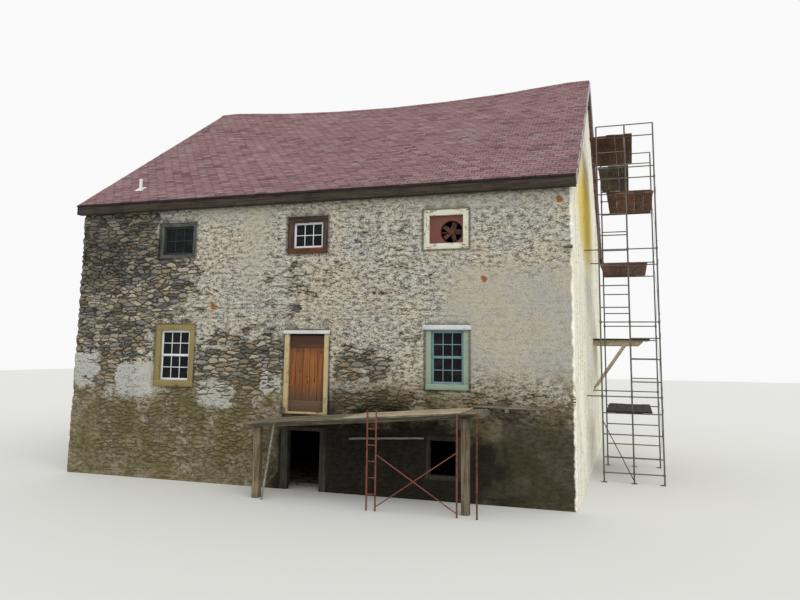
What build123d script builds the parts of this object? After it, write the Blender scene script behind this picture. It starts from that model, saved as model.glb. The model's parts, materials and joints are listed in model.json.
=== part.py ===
from build123d import *
import os

# A stone mill house with a swaybacked shingle roof, a lean-to deck over its undercroft and a
# scaffold tower against its gable. Millimetres. +X runs along the front wall to the right, +Y
# from the front to the back and +Z up. The origin is at the middle of the plan, on the
# underside of the undercroft floor.

os.makedirs("parts", exist_ok=True)

# How far a cutting piece goes past the face it cuts
past = 50

# The building's plan and its walls
length = 13570
depth = 14000
wall = 550

# Floors: the tops of the three floors, and how thick they are
undercroft_floor_top = 60
main_floor_top = 1810
upper_floor_top = 4940
floor_thickness = 240

# The roof: heights of its edge and of its ridge over each gable, and the sway between
eave_height = 7353
ridge_right = 12275
ridge_left = 12395
ridge_sway = 315
sway_bays = 6
eave_overhang = 230
verge_overhang = 110
roof_thickness = 230
shingle_cover = 30
drip_lip = 60
cap_width = 170
cap_thickness = 16

# Cornice and rake boards
cornice_height = 235
cornice_board = 30
rake_height = 240
rake_board = 28
rake_drop = 25

# The vent pipe on the front slope, from the left verge and up from the eave
vent_from_verge = 1445
vent_from_eave = 870
vent_radius = 45
vent_height = 300
flashing_size = 260
flashing_thickness = 6
flashing_clearance = 0.3

# Windows in the front wall: middle, width, sill height, height and width of the frame's face.
# The upper sills hang from the eave and the lower ones stand on the main floor
sill_drop = 1560
lower_left_rise = 570
lower_right_rise = 680
upper_sill = eave_height - sill_drop
upper_left = (-3620, 1130, upper_sill, 960, 95)
upper_mid = (240, 1120, upper_sill, 960, 150)
upper_right = (3850, 1110, upper_sill, 960, 140)
lower_left = (-3565, 1220, main_floor_top + lower_left_rise, 1640, 165)
lower_right = (3885, 1040, main_floor_top + lower_right_rise, 1500, 130)
frame_reveal = 15
frame_depth = 150
sash_setback = 60
sash_depth = 45
sash_rail = 55
glass_thickness = 6
drip_board_height = 110
drip_board_proud = 45
drip_board_end = 70

# Windows in the back wall, in the same rows
back_columns = (-3700, 0, 3700)
back_upper = (1120, upper_sill, 960)
back_lower = (1040, main_floor_top + lower_right_rise, 1500)
back_face = 110

# The door, its frame and its hinges
door_x = 285
door_width = 1220
door_height = 2050
over_door = 490
jamb = 130
head = 120
sill = 50
head_board_height = 85
head_board_proud = 18
head_board_end = 25
jamb_depth = 100
leaf_thickness = 40
leaf_gap = 5
pin_radius = 8
pin_clearance = 0.3
eye_wall = 5
strap_thickness = 6
strap_width = 50
strap_length = 620
strap_gap = 2
tongue_length = 15
hinge_heights = (260, 1560)
plate_outer = 80
plate_inner = 25
plate_thickness = 6
plate_drop = 70
plate_rise = 40
arm_height = 24
arm_end = 4
pin_over = 8

# The undercroft's doorway under the door, and its open window hole
undercroft_head = 1500
undercroft_post = 180
undercroft_rail = 90
hole_x = 3810
hole_width = 880
hole_sill = 450
hole_height = 1000
hole_frame = 110
hole_frame_depth = 120

# The fan in the upper right window, whose hole lies near the panel's right and bottom edges
fan_hole_radius = 270
fan_hole_right = 25
fan_hole_bottom = 9
fan_panel_setback = 70
fan_panel_thickness = 25
housing_wall = 6
housing_depth = 90
spoke_width = 36
spoke_thickness = 8
spindle_radius = 12
spindle_end = 6
hub_radius = 45
hub_length = 60
hub_gap = 12
blade_count = 5
blade_tip_gap = 30
blade_root = 27
blade_width = 120
blade_thickness = 4
blade_pitch = 28

# The deck along the front wall, which falls to the left from a step under the main floor
deck_left = -640
deck_right = 4950
deck_out = 1450
deck_step = 115
deck_fall = 0.0785
deck_board = 32
rim_width = 60
rim_depth = 110
rim_setback = 300
joist_width = 70
joist_count = 7
post_size = 165
left_post_in = 225
right_post_in = 282
plywood_left = 1910
plywood_right = 4560
plywood_thickness = 18
plywood_gap = 40

# A long board lies on the deck's right end and runs on along the wall, on two short timbers
ledge_lap = 370
ledge_right = 6150
ledge_board = 40
ledge_in = 30
ledge_width = 270
ledge_timber_width = 80
ledge_timber_depth = 90
ledge_timber_ends = (330, 1010)

# Steel props and wooden poles under the deck
ladder_left = 2500
ladder_width = 200
ladder_pitch = 340
ladder_radius = 19
ladder_over_deck = 127
red_pole_x = 4480
red_pole_over_deck = -10
rusty_pole_x = 4900
rusty_pole_over_deck = -10
brace_radius = 12
brace_foot = 80
rising_brace_head = 1300
falling_brace_head = 1170
wood_pole_radius = 26
rail_left = 1500
rail_height = 1290
rail_rise = 95
rail_gap = 20
lean_foot_x = -105
lean_foot_in = 150
lean_head_x = 170
lean_head_in = 150

# The scaffold tower at the right gable: its posts from the wall outwards, its lifts and bay
scaffold_stand = 400
inner_bay = 760
outer_bay = 750
scaffold_y = -3000
scaffold_bay = 3050
scaffold_base = 250
lift_height = 1990
lift_count = 4
top_lift = 1520
tube_radius = 21
rung_radius = 16
rung_shares = (0.2, 0.5, 0.78)
outer_rung_lift = 1
brace_bar = 24
brace_thickness = 6
brace_low_end = 200
brace_high_end = 300
foot_brace_low = 60
foot_brace_high = 1600
plank_thickness = 45
plank_overhang = 100
plank_notch = 6

# Its working levels: the rung that carries the planks, counted from the ground, and how far the
# planks' left and right edges lie from the innermost posts
working_levels = {3: (85, 1265), 9: (25, 1255), 12: (245, 1475), 13: (30, 845), 15: (-185, 965)}

# The wooden bracket platform behind the scaffold
platform_out = 1740
platform_front = 650
platform_back = 3250
platform_top = 3860
platform_board = 45
bracket_width = 90
bracket_depth = 170
bracket_reach = 1530
bracket_inset = 150
bracket_nose = 120
bracket_nose_depth = 68
bracket_foot = 2200
bracket_knee = 1000
knee_depth = 130
knee_width = 90

half_l = length / 2
half_d = depth / 2
inner_l = half_l - wall
inner_d = half_d - wall
front = -half_d
roof_reach = half_d + eave_overhang


def block(x0, x1, y0, y1, z0, z1):
    """A squared block between two corners."""
    return Pos((x0 + x1) / 2, (y0 + y1) / 2, (z0 + z1) / 2) * Box(x1 - x0, y1 - y0, z1 - z0)


def along_x(outline, x0, x1):
    """A straight piece along X with the outline (y, z)."""
    face = Face(Wire.make_polygon([Vector(x0, y, z) for y, z in outline]))
    return Solid.extrude(face, Vector(x1 - x0, 0, 0))


def along_y(outline, y0, y1):
    """A straight piece along Y with the outline (x, z)."""
    face = Face(Wire.make_polygon([Vector(x, y0, z) for x, z in outline]))
    return Solid.extrude(face, Vector(0, y1 - y0, 0))


def path_plane(start, end):
    """The plane across a straight path at its start, and the path's length."""
    path = Vector(*end) - Vector(*start)
    side = Vector(0, 1, 0) if abs(path.X) > 1e-6 and abs(path.Y) < 1e-6 else Vector(1, 0, 0)
    if abs(path.X) > 1e-6 and abs(path.Y) > 1e-6:
        side = path.cross(Vector(0, 0, 1))
    return Plane(origin=Vector(*start), x_dir=side, z_dir=path), path.length


def tube(start, end, radius):
    plane, reach = path_plane(start, end)
    return extrude(plane * Circle(radius), reach)


def bar(start, end, width, height):
    plane, reach = path_plane(start, end)
    return extrude(plane * Rectangle(width, height), reach)


def keep(name, *pieces):
    """Writes one node's solids to its own file."""
    shape = pieces[0] if len(pieces) == 1 else Compound(list(pieces))
    export_step(shape, f"parts/{name}.step")


# Roof geometry that the walls and boards follow
def ridge_height(x):
    """The ridge is level over each gable wall and sways down between them in straight bays."""
    def swayed(i):
        t = 2 * i / sway_bays - 1
        level = (ridge_right + ridge_left) / 2 + t * (ridge_right - ridge_left) / 2
        return level - ridge_sway * (1 - t * t)

    place = max(0, min(sway_bays, sway_bays * (x + inner_l) / (2 * inner_l)))
    i = min(int(place), sway_bays - 1)
    return swayed(i) + (place - i) * (swayed(i + 1) - swayed(i))


def roof_top(x, y):
    """Height of the shingles at a place in plan."""
    ridge = ridge_height(x)
    return eave_height + (ridge - eave_height) * (roof_reach - abs(y)) / roof_reach


def stations():
    inside = [-inner_l + 2 * inner_l * i / sway_bays for i in range(sway_bays + 1)]
    return [-half_l - verge_overhang] + inside + [half_l + verge_overhang]


def loft_along_roof(outline_at):
    wires = []
    for x in stations():
        wires.append(Wire.make_polygon([Vector(x, y, z) for y, z in outline_at(x)]))
    return Solid.make_loft(wires, ruled=True)


def slope(side):
    """One roof slope, side -1 for the front and 1 for the back."""
    def outline(x):
        body_edge = roof_reach - drip_lip
        edge = roof_top(x, body_edge)
        ridge = ridge_height(x)
        return [
            (side * roof_reach, eave_height),
            (0, ridge),
            (0, ridge - roof_thickness),
            (side * body_edge, edge - roof_thickness),
            (side * body_edge, edge - shingle_cover),
            (side * roof_reach, eave_height - shingle_cover),
        ]
    return loft_along_roof(outline)


def ridge_cap():
    def outline(x):
        foot = roof_top(x, cap_width)
        ridge = ridge_height(x)
        return [
            (-cap_width, foot),
            (0, ridge),
            (cap_width, foot),
            (cap_width, foot + cap_thickness),
            (0, ridge + cap_thickness),
            (-cap_width, foot + cap_thickness),
        ]
    return loft_along_roof(outline)


# The wall plates stop under the lowest stretch of the roof
wall_top = min(roof_top(x, half_d) for x in stations()) - roof_thickness


def gable_wall(side):
    x_out = side * half_l
    under_eave = roof_top(x_out, half_d) - roof_thickness
    under_ridge = ridge_height(x_out) - roof_thickness
    outline = [(-half_d, 0), (half_d, 0), (half_d, under_eave), (0, under_ridge), (-half_d, under_eave)]
    return along_x(outline, x_out - side * wall, x_out)


def opening(middle, width, base, height, y_face, y_inner):
    """A hole through a wall, cut a little past both faces."""
    y0, y1 = sorted((y_face, y_inner))
    return block(middle - width / 2, middle + width / 2, y0 - past, y1 + past, base, base + height)


def front_hole(window):
    middle, width, base, height, face = window
    return opening(middle, width, base, height, front, front + wall)


def ring(x0, x1, z0, z1, face, y0, y1):
    """A frame of four sides with an open middle."""
    outer = block(x0, x1, y0, y1, z0, z1)
    return outer - block(x0 + face, x1 - face, y0 - past, y1 + past, z0 + face, z1 - face)


def window_frame(window):
    middle, width, base, height, face = window
    y0 = front + frame_reveal
    return ring(middle - width / 2, middle + width / 2, base, base + height, face, y0, y0 + frame_depth)


def window_sash(window, rails):
    """The sash inside a frame, with a meeting rail where it is double hung, and its glass."""
    middle, width, base, height, face = window
    x0, x1 = middle - width / 2 + face, middle + width / 2 - face
    z0, z1 = base + face, base + height - face
    y0 = front + frame_reveal + sash_setback
    y1 = y0 + sash_depth
    sash = ring(x0, x1, z0, z1, sash_rail, y0, y1)
    holes = [z0 + sash_rail]
    for i in range(rails):
        rail = z0 + (z1 - z0) * (i + 1) / (rails + 1)
        sash += block(x0 + sash_rail, x1 - sash_rail, y0, y1, rail - sash_rail / 2, rail + sash_rail / 2)
        holes += [rail - sash_rail / 2, rail + sash_rail / 2]
    holes.append(z1 - sash_rail)
    mid = (y0 + y1) / 2
    panes = []
    for low, high in zip(holes[::2], holes[1::2]):
        panes.append(block(x0 + sash_rail, x1 - sash_rail, mid - glass_thickness / 2,
                           mid + glass_thickness / 2, low, high))
    return sash, panes


def turned(piece):
    """The same piece in the back wall: half a turn about the upright axis."""
    return Rot(0, 0, 180) * piece


# Floors
keep("undercroft_floor", block(-inner_l, inner_l, -inner_d, inner_d, 0, undercroft_floor_top))
for name, top in (("main_floor", main_floor_top), ("upper_floor", upper_floor_top)):
    keep(name, block(-inner_l, inner_l, -inner_d, inner_d, top - floor_thickness, top))

# Walls
door_left = door_x - door_width / 2
door_right = door_x + door_width / 2
door_head = main_floor_top + door_height
storey_joint = door_head + over_door
wall_y = (front, front + wall)
left_part = block(-inner_l, door_left, *wall_y, 0, storey_joint) - front_hole(lower_left)
right_part = block(door_right, inner_l, *wall_y, 0, storey_joint) - front_hole(lower_right)
right_part -= opening(hole_x, hole_width, hole_sill, hole_height, front, front + wall)
keep("front_wall_left", left_part)
keep("front_wall_right", right_part)
keep("front_wall_under_door", block(door_left, door_right, *wall_y, undercroft_head, main_floor_top))
keep("front_wall_over_door", block(door_left, door_right, *wall_y, door_head, storey_joint))
upper_part = block(-inner_l, inner_l, *wall_y, storey_joint, wall_top)
for window in (upper_left, upper_mid, upper_right):
    upper_part -= front_hole(window)
keep("front_wall_upper", upper_part)

back_part = block(-inner_l, inner_l, half_d - wall, half_d, 0, wall_top)
for middle in back_columns:
    for width, base, height in (back_upper, back_lower):
        back_part -= opening(middle, width, base, height, half_d - wall, half_d)
keep("back_wall", back_part)
keep("left_gable_wall", gable_wall(-1))
keep("right_gable_wall", gable_wall(1))

# Roof
keep("roof_front_slope", slope(-1))
keep("roof_back_slope", slope(1))
keep("ridge_cap", ridge_cap())


def cornice(side):
    """The eave's upright board and its soffit, back to the wall."""
    out = roof_reach - drip_lip
    face_y = out + cornice_board
    top = min(roof_top(x, face_y) for x in stations()) - shingle_cover
    bottom = top - cornice_height
    board = [(side * out, top), (side * face_y, top), (side * face_y, bottom), (side * half_d, bottom)]
    board += [(side * half_d, bottom + cornice_board), (side * out, bottom + cornice_board)]
    return along_x(board, -half_l - verge_overhang, half_l + verge_overhang)


def rake(side, face):
    """A board up one verge, over the roof's end."""
    x_in = side * (half_l + verge_overhang)
    out = roof_reach - drip_lip
    top_eave = roof_top(x_in, out) - rake_drop
    top_ridge = ridge_height(x_in) - rake_drop
    outline = [(face * out, top_eave), (0, top_ridge), (0, top_ridge - rake_height),
               (face * out, top_eave - rake_height)]
    return along_x(outline, x_in, x_in + side * rake_board)


keep("cornices", cornice(-1), cornice(1))
keep("rake_boards", *[rake(side, face) for side in (-1, 1) for face in (-1, 1)])


def vent():
    """A pipe over the shingles, on a thin flat flashing that lies on the slope."""
    half = flashing_size / 2
    x, y = vent_from_verge - verge_overhang - half_l, vent_from_eave - roof_reach
    across = (roof_top(x + half, y) - roof_top(x - half, y)) / flashing_size
    upward = (roof_top(x, y + half) - roof_top(x, y - half)) / flashing_size
    foot = roof_top(x, y)
    on_slope = Plane(origin=(x, y, foot), x_dir=(1, 0, across), z_dir=(-across, -upward, 1))
    in_sheet = on_slope.offset(flashing_clearance + flashing_thickness / 2)
    sheet = in_sheet * Box(flashing_size, flashing_size, flashing_thickness)
    pipe = tube((x, y, foot - half), (x, y, foot + vent_height), vent_radius)
    return sheet + split(pipe, bisect_by=in_sheet, keep=Keep.TOP)


keep("vent_pipe", vent())

# The door
jamb_y0 = front + frame_reveal
jamb_y1 = jamb_y0 + jamb_depth
clear_left = door_left + jamb
clear_right = door_right - jamb
frame = block(door_left, door_right, jamb_y0, jamb_y1, main_floor_top, door_head)
frame -= block(clear_left, clear_right, jamb_y0 - past, jamb_y1 + past,
               main_floor_top + sill, door_head - head)
keep("door_frame", frame)
keep("door_head_board", block(door_left - head_board_end, door_right + head_board_end,
                              front - head_board_proud, front, door_head - head_board_height, door_head)
     + block(door_left, door_right, front, jamb_y0, door_head - head_board_height, door_head))

leaf_y1 = jamb_y1
leaf_y0 = leaf_y1 - leaf_thickness
leaf_base = main_floor_top + sill + leaf_gap
leaf_top = door_head - head - leaf_gap
keep("door_leaf", block(clear_left + leaf_gap, clear_right - leaf_gap, leaf_y0, leaf_y1, leaf_base, leaf_top))

# Each strap ends in an eye that hangs on the jamb's pin
eye_radius = pin_radius + pin_clearance + eye_wall
pin_x = clear_left
pin_y = jamb_y1 + eye_radius + strap_gap
straps = []
pintles = []
for height in hinge_heights:
    low = leaf_base + height
    high = low + strap_width
    strap_x = pin_x + leaf_gap
    band = block(strap_x, pin_x + strap_length, leaf_y1, leaf_y1 + strap_thickness, low, high)
    eye = Pos(pin_x, pin_y, (low + high) / 2) * Cylinder(eye_radius, strap_width)
    hole = Pos(pin_x, pin_y, (low + high) / 2) * Cylinder(pin_radius + pin_clearance, strap_width + past)
    tongue = block(strap_x, strap_x + tongue_length, leaf_y1, pin_y, low, high)
    straps.append(band + eye + tongue - hole)
    rest = low - pin_clearance
    plate_y1 = jamb_y1 + plate_thickness
    plate = block(pin_x - plate_outer, pin_x - plate_inner, jamb_y1, plate_y1,
                  rest - plate_drop, high + plate_rise)
    arm = block(pin_x - plate_outer, pin_x + arm_end, plate_y1, pin_y + pin_radius, rest - arm_height, rest)
    pin_z0, pin_z1 = rest - arm_height, high + pin_over
    pin = Pos(pin_x, pin_y, (pin_z0 + pin_z1) / 2) * Cylinder(pin_radius, pin_z1 - pin_z0)
    pintles.append(plate + arm + pin)
keep("door_hinge_straps", *straps)
keep("door_pintles", *pintles)

# The undercroft's openings
posts = block(door_left, door_right, front, front + hole_frame_depth, 0, undercroft_head)
posts -= block(door_left + undercroft_post, door_right - undercroft_post, front - past,
               front + hole_frame_depth + past, -past, undercroft_head - undercroft_rail)
hole_ring = ring(hole_x - hole_width / 2, hole_x + hole_width / 2, hole_sill, hole_sill + hole_height,
                 hole_frame, front + frame_reveal, front + frame_reveal + hole_frame_depth)
keep("undercroft_frames", posts, hole_ring)

# Front windows
glass = []
for name, window, rails, sash_name in (
    ("upper_left_window", upper_left, 0, "sash"),
    ("upper_mid_window", upper_mid, 0, "sash"),
    ("lower_left_window", lower_left, 1, "sashes"),
    ("lower_right_window", lower_right, 1, "sashes"),
):
    sash, panes = window_sash(window, rails)
    glass += panes
    frame = window_frame(window)
    if window == lower_right:
        middle, width, base, height, face = window
        top = base + height
        frame += block(middle - width / 2 - drip_board_end, middle + width / 2 + drip_board_end,
                       front - drip_board_proud, front, top - drip_board_height, top)
        frame += block(middle - width / 2, middle + width / 2, front, front + frame_reveal,
                       top - drip_board_height, top)
    keep(name + "_frame", frame)
    keep(name + "_" + sash_name, sash)

# Back windows
back_frames = []
back_sashes = []
for middle in back_columns:
    for row, rails in ((back_upper, 0), (back_lower, 1)):
        window = (middle, *row, back_face)
        sash, panes = window_sash(window, rails)
        back_frames.append(turned(window_frame(window)))
        back_sashes.append(turned(sash))
        glass += [turned(pane) for pane in panes]
keep("back_window_frames", *back_frames)
keep("back_window_sashes", *back_sashes)
keep("window_glass", *glass)

# The fan window: frame, board with a round hole, housing and rotor
keep("fan_window_frame", window_frame(upper_right))
middle, width, base, height, face = upper_right
panel_y0 = front + frame_reveal + fan_panel_setback
panel_y1 = panel_y0 + fan_panel_thickness
panel_right = middle + width / 2 - face
panel_base = base + face
fan_x = panel_right - fan_hole_right - fan_hole_radius
fan_z = panel_base + fan_hole_bottom + fan_hole_radius
panel = block(middle - width / 2 + face, panel_right, panel_y0, panel_y1, panel_base, base + height - face)
panel -= tube((fan_x, panel_y0 - past, fan_z), (fan_x, panel_y1 + past, fan_z), fan_hole_radius)
keep("fan_panel", panel)

housing_y1 = panel_y1 + housing_depth
housing = tube((fan_x, panel_y1, fan_z), (fan_x, housing_y1, fan_z), fan_hole_radius + housing_wall)
housing -= tube((fan_x, panel_y1 - past, fan_z), (fan_x, housing_y1 + past, fan_z), fan_hole_radius)
spoke_y0 = housing_y1 - spoke_thickness
reach = fan_hole_radius + housing_wall / 2
housing += block(fan_x - reach, fan_x + reach, spoke_y0, housing_y1,
                 fan_z - spoke_width / 2, fan_z + spoke_width / 2)
hub_y1 = spoke_y0 - hub_gap
hub_y0 = hub_y1 - hub_length
housing += tube((fan_x, hub_y0 - spindle_end, fan_z), (fan_x, spoke_y0, fan_z), spindle_radius)
keep("fan_housing", housing)

rotor = tube((fan_x, hub_y0, fan_z), (fan_x, hub_y1, fan_z), hub_radius)
hub_mid = (hub_y0 + hub_y1) / 2
blade_reach = fan_hole_radius - blade_tip_gap
for i in range(blade_count):
    flat = Box(blade_reach - blade_root, blade_thickness, blade_width)
    pitched = Pos((blade_reach + blade_root) / 2, 0, 0) * Rot(blade_pitch, 0, 0) * flat
    rotor += Pos(fan_x, hub_mid, fan_z) * Rot(0, 360 * i / blade_count, 0) * pitched
rotor -= tube((fan_x, hub_y0 - past, fan_z), (fan_x, hub_y1 + past, fan_z), spindle_radius + pin_clearance)
keep("fan_rotor", rotor)


# The deck along the front
def deck_top(x):
    return main_floor_top - deck_step + deck_fall * (x - deck_left)


def deck_layer(x0, x1, y0, y1, above, below):
    """A piece of the sloping deck between two depths under its top."""
    outline = [(x0, deck_top(x0) - below), (x1, deck_top(x1) - below),
               (x1, deck_top(x1) - above), (x0, deck_top(x0) - above)]
    return along_y(outline, y0, y1)


deck_front = front - deck_out
under_boards = deck_board + rim_depth
keep("deck_boards", deck_layer(deck_left, deck_right, deck_front, front, 0, deck_board))
keep("plywood_sheet", deck_layer(plywood_left, plywood_right, deck_front, front - plywood_gap,
                                 -plywood_thickness, 0))
rim_front = deck_front + rim_setback
timbers = deck_layer(deck_left, deck_right, rim_front, rim_front + rim_width, deck_board, under_boards)
timbers += deck_layer(deck_left, deck_right, front - rim_width, front, deck_board, under_boards)
for i in range(joist_count):
    x0 = deck_left + (deck_right - deck_left - joist_width) * i / (joist_count - 1)
    timbers += deck_layer(x0, x0 + joist_width, rim_front, front, deck_board, under_boards)
ledge_base = deck_top(deck_right)
ledge_out = front - ledge_in - ledge_width
ledge_timbers = []
for end in ledge_timber_ends:
    x0 = deck_right + end
    ledge_timbers.append(block(x0, x0 + ledge_timber_width, ledge_out, front, ledge_base - ledge_timber_depth,
                               ledge_base))
keep("deck_timbers", timbers, *ledge_timbers)
keep("ledge_board", block(deck_right - ledge_lap, ledge_right, ledge_out, front - ledge_in, ledge_base,
                          ledge_base + ledge_board))

# Wooden posts under the rim, near its two ends
deck_posts = []
post_front = rim_front + (rim_width - post_size) / 2
for x in (deck_left + left_post_in + post_size / 2, deck_right - right_post_in - post_size / 2):
    x0, x1 = x - post_size / 2, x + post_size / 2
    outline = [(x0, 0), (x1, 0), (x1, deck_top(x1) - under_boards), (x0, deck_top(x0) - under_boards)]
    deck_posts.append(along_y(outline, post_front, post_front + post_size))
keep("deck_posts", *deck_posts)

# Steel props in front of the rim: a ladder frame, two poles and the braces between them
prop_face = deck_front - ladder_radius
ladder_right = ladder_left + ladder_width
ladder_top = deck_top(ladder_right) + ladder_over_deck
red_pole_top = deck_top(red_pole_x) + red_pole_over_deck
rusty_pole_top = deck_top(rusty_pole_x) + rusty_pole_over_deck
props = tube((ladder_left, prop_face, 0), (ladder_left, prop_face, ladder_top), ladder_radius)
props += tube((ladder_right, prop_face, 0), (ladder_right, prop_face, ladder_top), ladder_radius)
rung = ladder_pitch
while rung < ladder_top - ladder_pitch / 2:
    props += tube((ladder_left, prop_face, rung), (ladder_right, prop_face, rung), brace_radius)
    rung += ladder_pitch
props += tube((red_pole_x, prop_face, 0), (red_pole_x, prop_face, red_pole_top), ladder_radius)
props += tube((ladder_right, prop_face, brace_foot), (red_pole_x, prop_face, rising_brace_head),
              brace_radius)
props += tube((ladder_right, prop_face, falling_brace_head), (red_pole_x, prop_face, brace_foot),
              brace_radius)
keep("steel_props", props)
keep("rusty_pole", tube((rusty_pole_x, prop_face, 0), (rusty_pole_x, prop_face, rusty_pole_top),
                        ladder_radius))

# Wooden poles: a rail along the wall and one that leans under the deck
rail_y = front - wood_pole_radius
rail_right = hole_x - hole_width / 2 - rail_gap
rail = tube((rail_left, rail_y, rail_height), (rail_right, rail_y, rail_height + rail_rise), wood_pole_radius)
leaning = tube((lean_foot_x, deck_front + lean_foot_in, -past),
               (lean_head_x, deck_front + lean_head_in, deck_top(lean_head_x)), wood_pole_radius)
leaning -= deck_layer(deck_left, deck_right, deck_front, front, -past, deck_board)
leaning -= block(deck_left - past, deck_right, deck_front, front, -2 * past, 0)
keep("wooden_poles", rail, leaning)

# The scaffold tower
left_post = half_l + scaffold_stand
mid_post = left_post + inner_bay
right_post = mid_post + outer_bay
scaffold_posts = (left_post, mid_post, right_post)
scaffold_top = scaffold_base + lift_height * lift_count + top_lift
levels = [scaffold_base + lift_height * i for i in range(lift_count + 1)] + [scaffold_top]
rungs = [low + (high - low) * share for low, high in zip(levels, levels[1:]) for share in rung_shares]


def scaffold_frame(y):
    """One upright side of the tower: three posts, a rail at each lift, rungs and wall ties."""
    frame = tube((left_post, y, 0), (left_post, y, scaffold_top), tube_radius)
    for x in (mid_post, right_post):
        frame += tube((x, y, 0), (x, y, scaffold_top), tube_radius)
    for level in levels:
        frame += tube((left_post, y, level), (right_post, y, level), rung_radius)
    for number, z in enumerate(rungs, 1):
        lift = (number - 1) // len(rung_shares)
        start = mid_post if lift == outer_rung_lift else left_post
        wide = number in working_levels or lift <= outer_rung_lift
        frame += tube((start, y, z), (right_post if wide else mid_post, y, z), rung_radius)
    for level in levels[1:lift_count:2]:
        frame += tube((half_l, y, level), (left_post, y, level), rung_radius)
    return frame


scaffold_far = scaffold_y + scaffold_bay
keep("scaffold_front_frame", scaffold_frame(scaffold_y))
keep("scaffold_back_frame", scaffold_frame(scaffold_far))

# Flat braces cross between the two frames outside the right posts, and one at the foot in front
braces = []
for low, high in zip(levels[:-2], levels[1:-1]):
    x0 = right_post + tube_radius + brace_thickness / 2
    ends = (low + brace_low_end, high - brace_high_end)
    for x, (z0, z1) in ((x0, ends), (x0 + brace_thickness, ends[::-1])):
        braces.append(bar((x, scaffold_y, z0), (x, scaffold_far, z1), brace_thickness, brace_bar))
foot_y = scaffold_y - tube_radius - brace_thickness / 2
braces.append(bar((left_post, foot_y, foot_brace_high), (mid_post, foot_y, foot_brace_low),
                  brace_thickness, brace_bar))
keep("scaffold_braces", *braces)

# Planks of the working levels, cut around the posts
decks = []
for number, z in enumerate(rungs, 1):
    if number in working_levels:
        x0, x1 = (left_post + edge for edge in working_levels[number])
        base, top = z + rung_radius, z + rung_radius + plank_thickness
        deck = block(x0, x1, scaffold_y - plank_overhang, scaffold_far + plank_overhang, base, top)
        for x in scaffold_posts:
            for y in (scaffold_y, scaffold_far):
                deck -= tube((x, y, base - past), (x, y, top + past), tube_radius + plank_notch)
        decks.append(deck)
keep("scaffold_planks", *decks)

# The bracket platform
platform = [block(half_l, half_l + platform_out, platform_front, platform_back,
                  platform_top - platform_board, platform_top)]
beam_top = platform_top - platform_board
for y in (platform_front + bracket_inset, platform_back - bracket_inset):
    y0, y1 = y - bracket_width / 2, y + bracket_width / 2
    under = beam_top - bracket_depth
    nose = half_l + bracket_reach
    beam = [(half_l, under), (nose - bracket_nose, under), (nose, beam_top - bracket_nose_depth),
            (nose, beam_top), (half_l, beam_top)]
    bracket = along_y(beam, y0, y1)
    knee = [(half_l, bracket_foot), (half_l, bracket_foot + knee_depth),
            (half_l + bracket_knee - knee_width, under), (half_l + bracket_knee, under)]
    bracket += along_y(knee, y0, y1)
    platform.append(bracket)
keep("bracket_platform", *platform)
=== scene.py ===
import json
import math
import random

import bmesh
import bpy
from mathutils import Matrix, Vector


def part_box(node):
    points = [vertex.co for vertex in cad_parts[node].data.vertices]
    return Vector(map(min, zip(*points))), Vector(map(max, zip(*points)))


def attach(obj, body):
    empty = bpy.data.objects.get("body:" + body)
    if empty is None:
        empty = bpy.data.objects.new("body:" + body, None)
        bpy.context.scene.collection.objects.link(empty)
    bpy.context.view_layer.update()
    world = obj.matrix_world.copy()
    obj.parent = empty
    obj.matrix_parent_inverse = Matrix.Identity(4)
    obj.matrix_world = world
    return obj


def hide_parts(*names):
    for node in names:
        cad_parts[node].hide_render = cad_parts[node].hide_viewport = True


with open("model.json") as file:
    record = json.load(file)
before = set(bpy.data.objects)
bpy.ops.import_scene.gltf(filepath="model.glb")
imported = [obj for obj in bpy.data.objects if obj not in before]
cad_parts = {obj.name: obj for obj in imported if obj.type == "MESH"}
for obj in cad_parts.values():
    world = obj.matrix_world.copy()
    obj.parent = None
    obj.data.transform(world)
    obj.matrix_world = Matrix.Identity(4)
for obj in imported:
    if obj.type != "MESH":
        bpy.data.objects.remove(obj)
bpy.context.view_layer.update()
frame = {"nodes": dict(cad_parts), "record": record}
nodes = frame["nodes"]
slotOf = {part["node"]: part["material_slot"] for part in frame["record"]["subparts"]}
bodyOf = {node: body for body, members in frame["record"]["behaviour"]["bodies"].items() for node in members}
print("frame loaded,", len(nodes), "nodes")


# One value on its way through a node tree. It adds, multiplies and compares like a number.
class Flow:
    def __init__(self, tree, socket):
        self.tree = tree
        self.socket = socket

    def node(self, kind, inputs=None, output=0, **settings):
        made = self.tree.nodes.new(kind)
        for name, value in settings.items():
            setattr(made, name, value)
        for place, value in (inputs or {}).items():
            if isinstance(value, Flow):
                self.tree.links.new(value.socket, made.inputs[place])
            else:
                made.inputs[place].default_value = value
        return Flow(self.tree, made.outputs[output])

    def __add__(self, other):
        return self.node("ShaderNodeMath", {0: self, 1: other}, operation="ADD")

    def __sub__(self, other):
        return self.node("ShaderNodeMath", {0: self, 1: other}, operation="SUBTRACT")

    def __rsub__(self, other):
        return self.node("ShaderNodeMath", {0: other, 1: self}, operation="SUBTRACT")

    def __mul__(self, other):
        return self.node("ShaderNodeMath", {0: self, 1: other}, operation="MULTIPLY")

    def __truediv__(self, other):
        return self.node("ShaderNodeMath", {0: self, 1: other}, operation="DIVIDE")

    def __pow__(self, other):
        return self.node("ShaderNodeMath", {0: self, 1: other}, operation="POWER")

    def __gt__(self, other):
        return self.node("ShaderNodeMath", {0: self, 1: other}, operation="GREATER_THAN")

    def __lt__(self, other):
        return self.node("ShaderNodeMath", {0: self, 1: other}, operation="LESS_THAN")

    def __abs__(self):
        return self.node("ShaderNodeMath", {0: self}, operation="ABSOLUTE")

    __radd__ = __add__
    __rmul__ = __mul__


def apply(operation, first, second=0.0):               # a sum of the Math node's own, such as FLOOR
    return first.node("ShaderNodeMath", {0: first, 1: second}, operation=operation)


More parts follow.
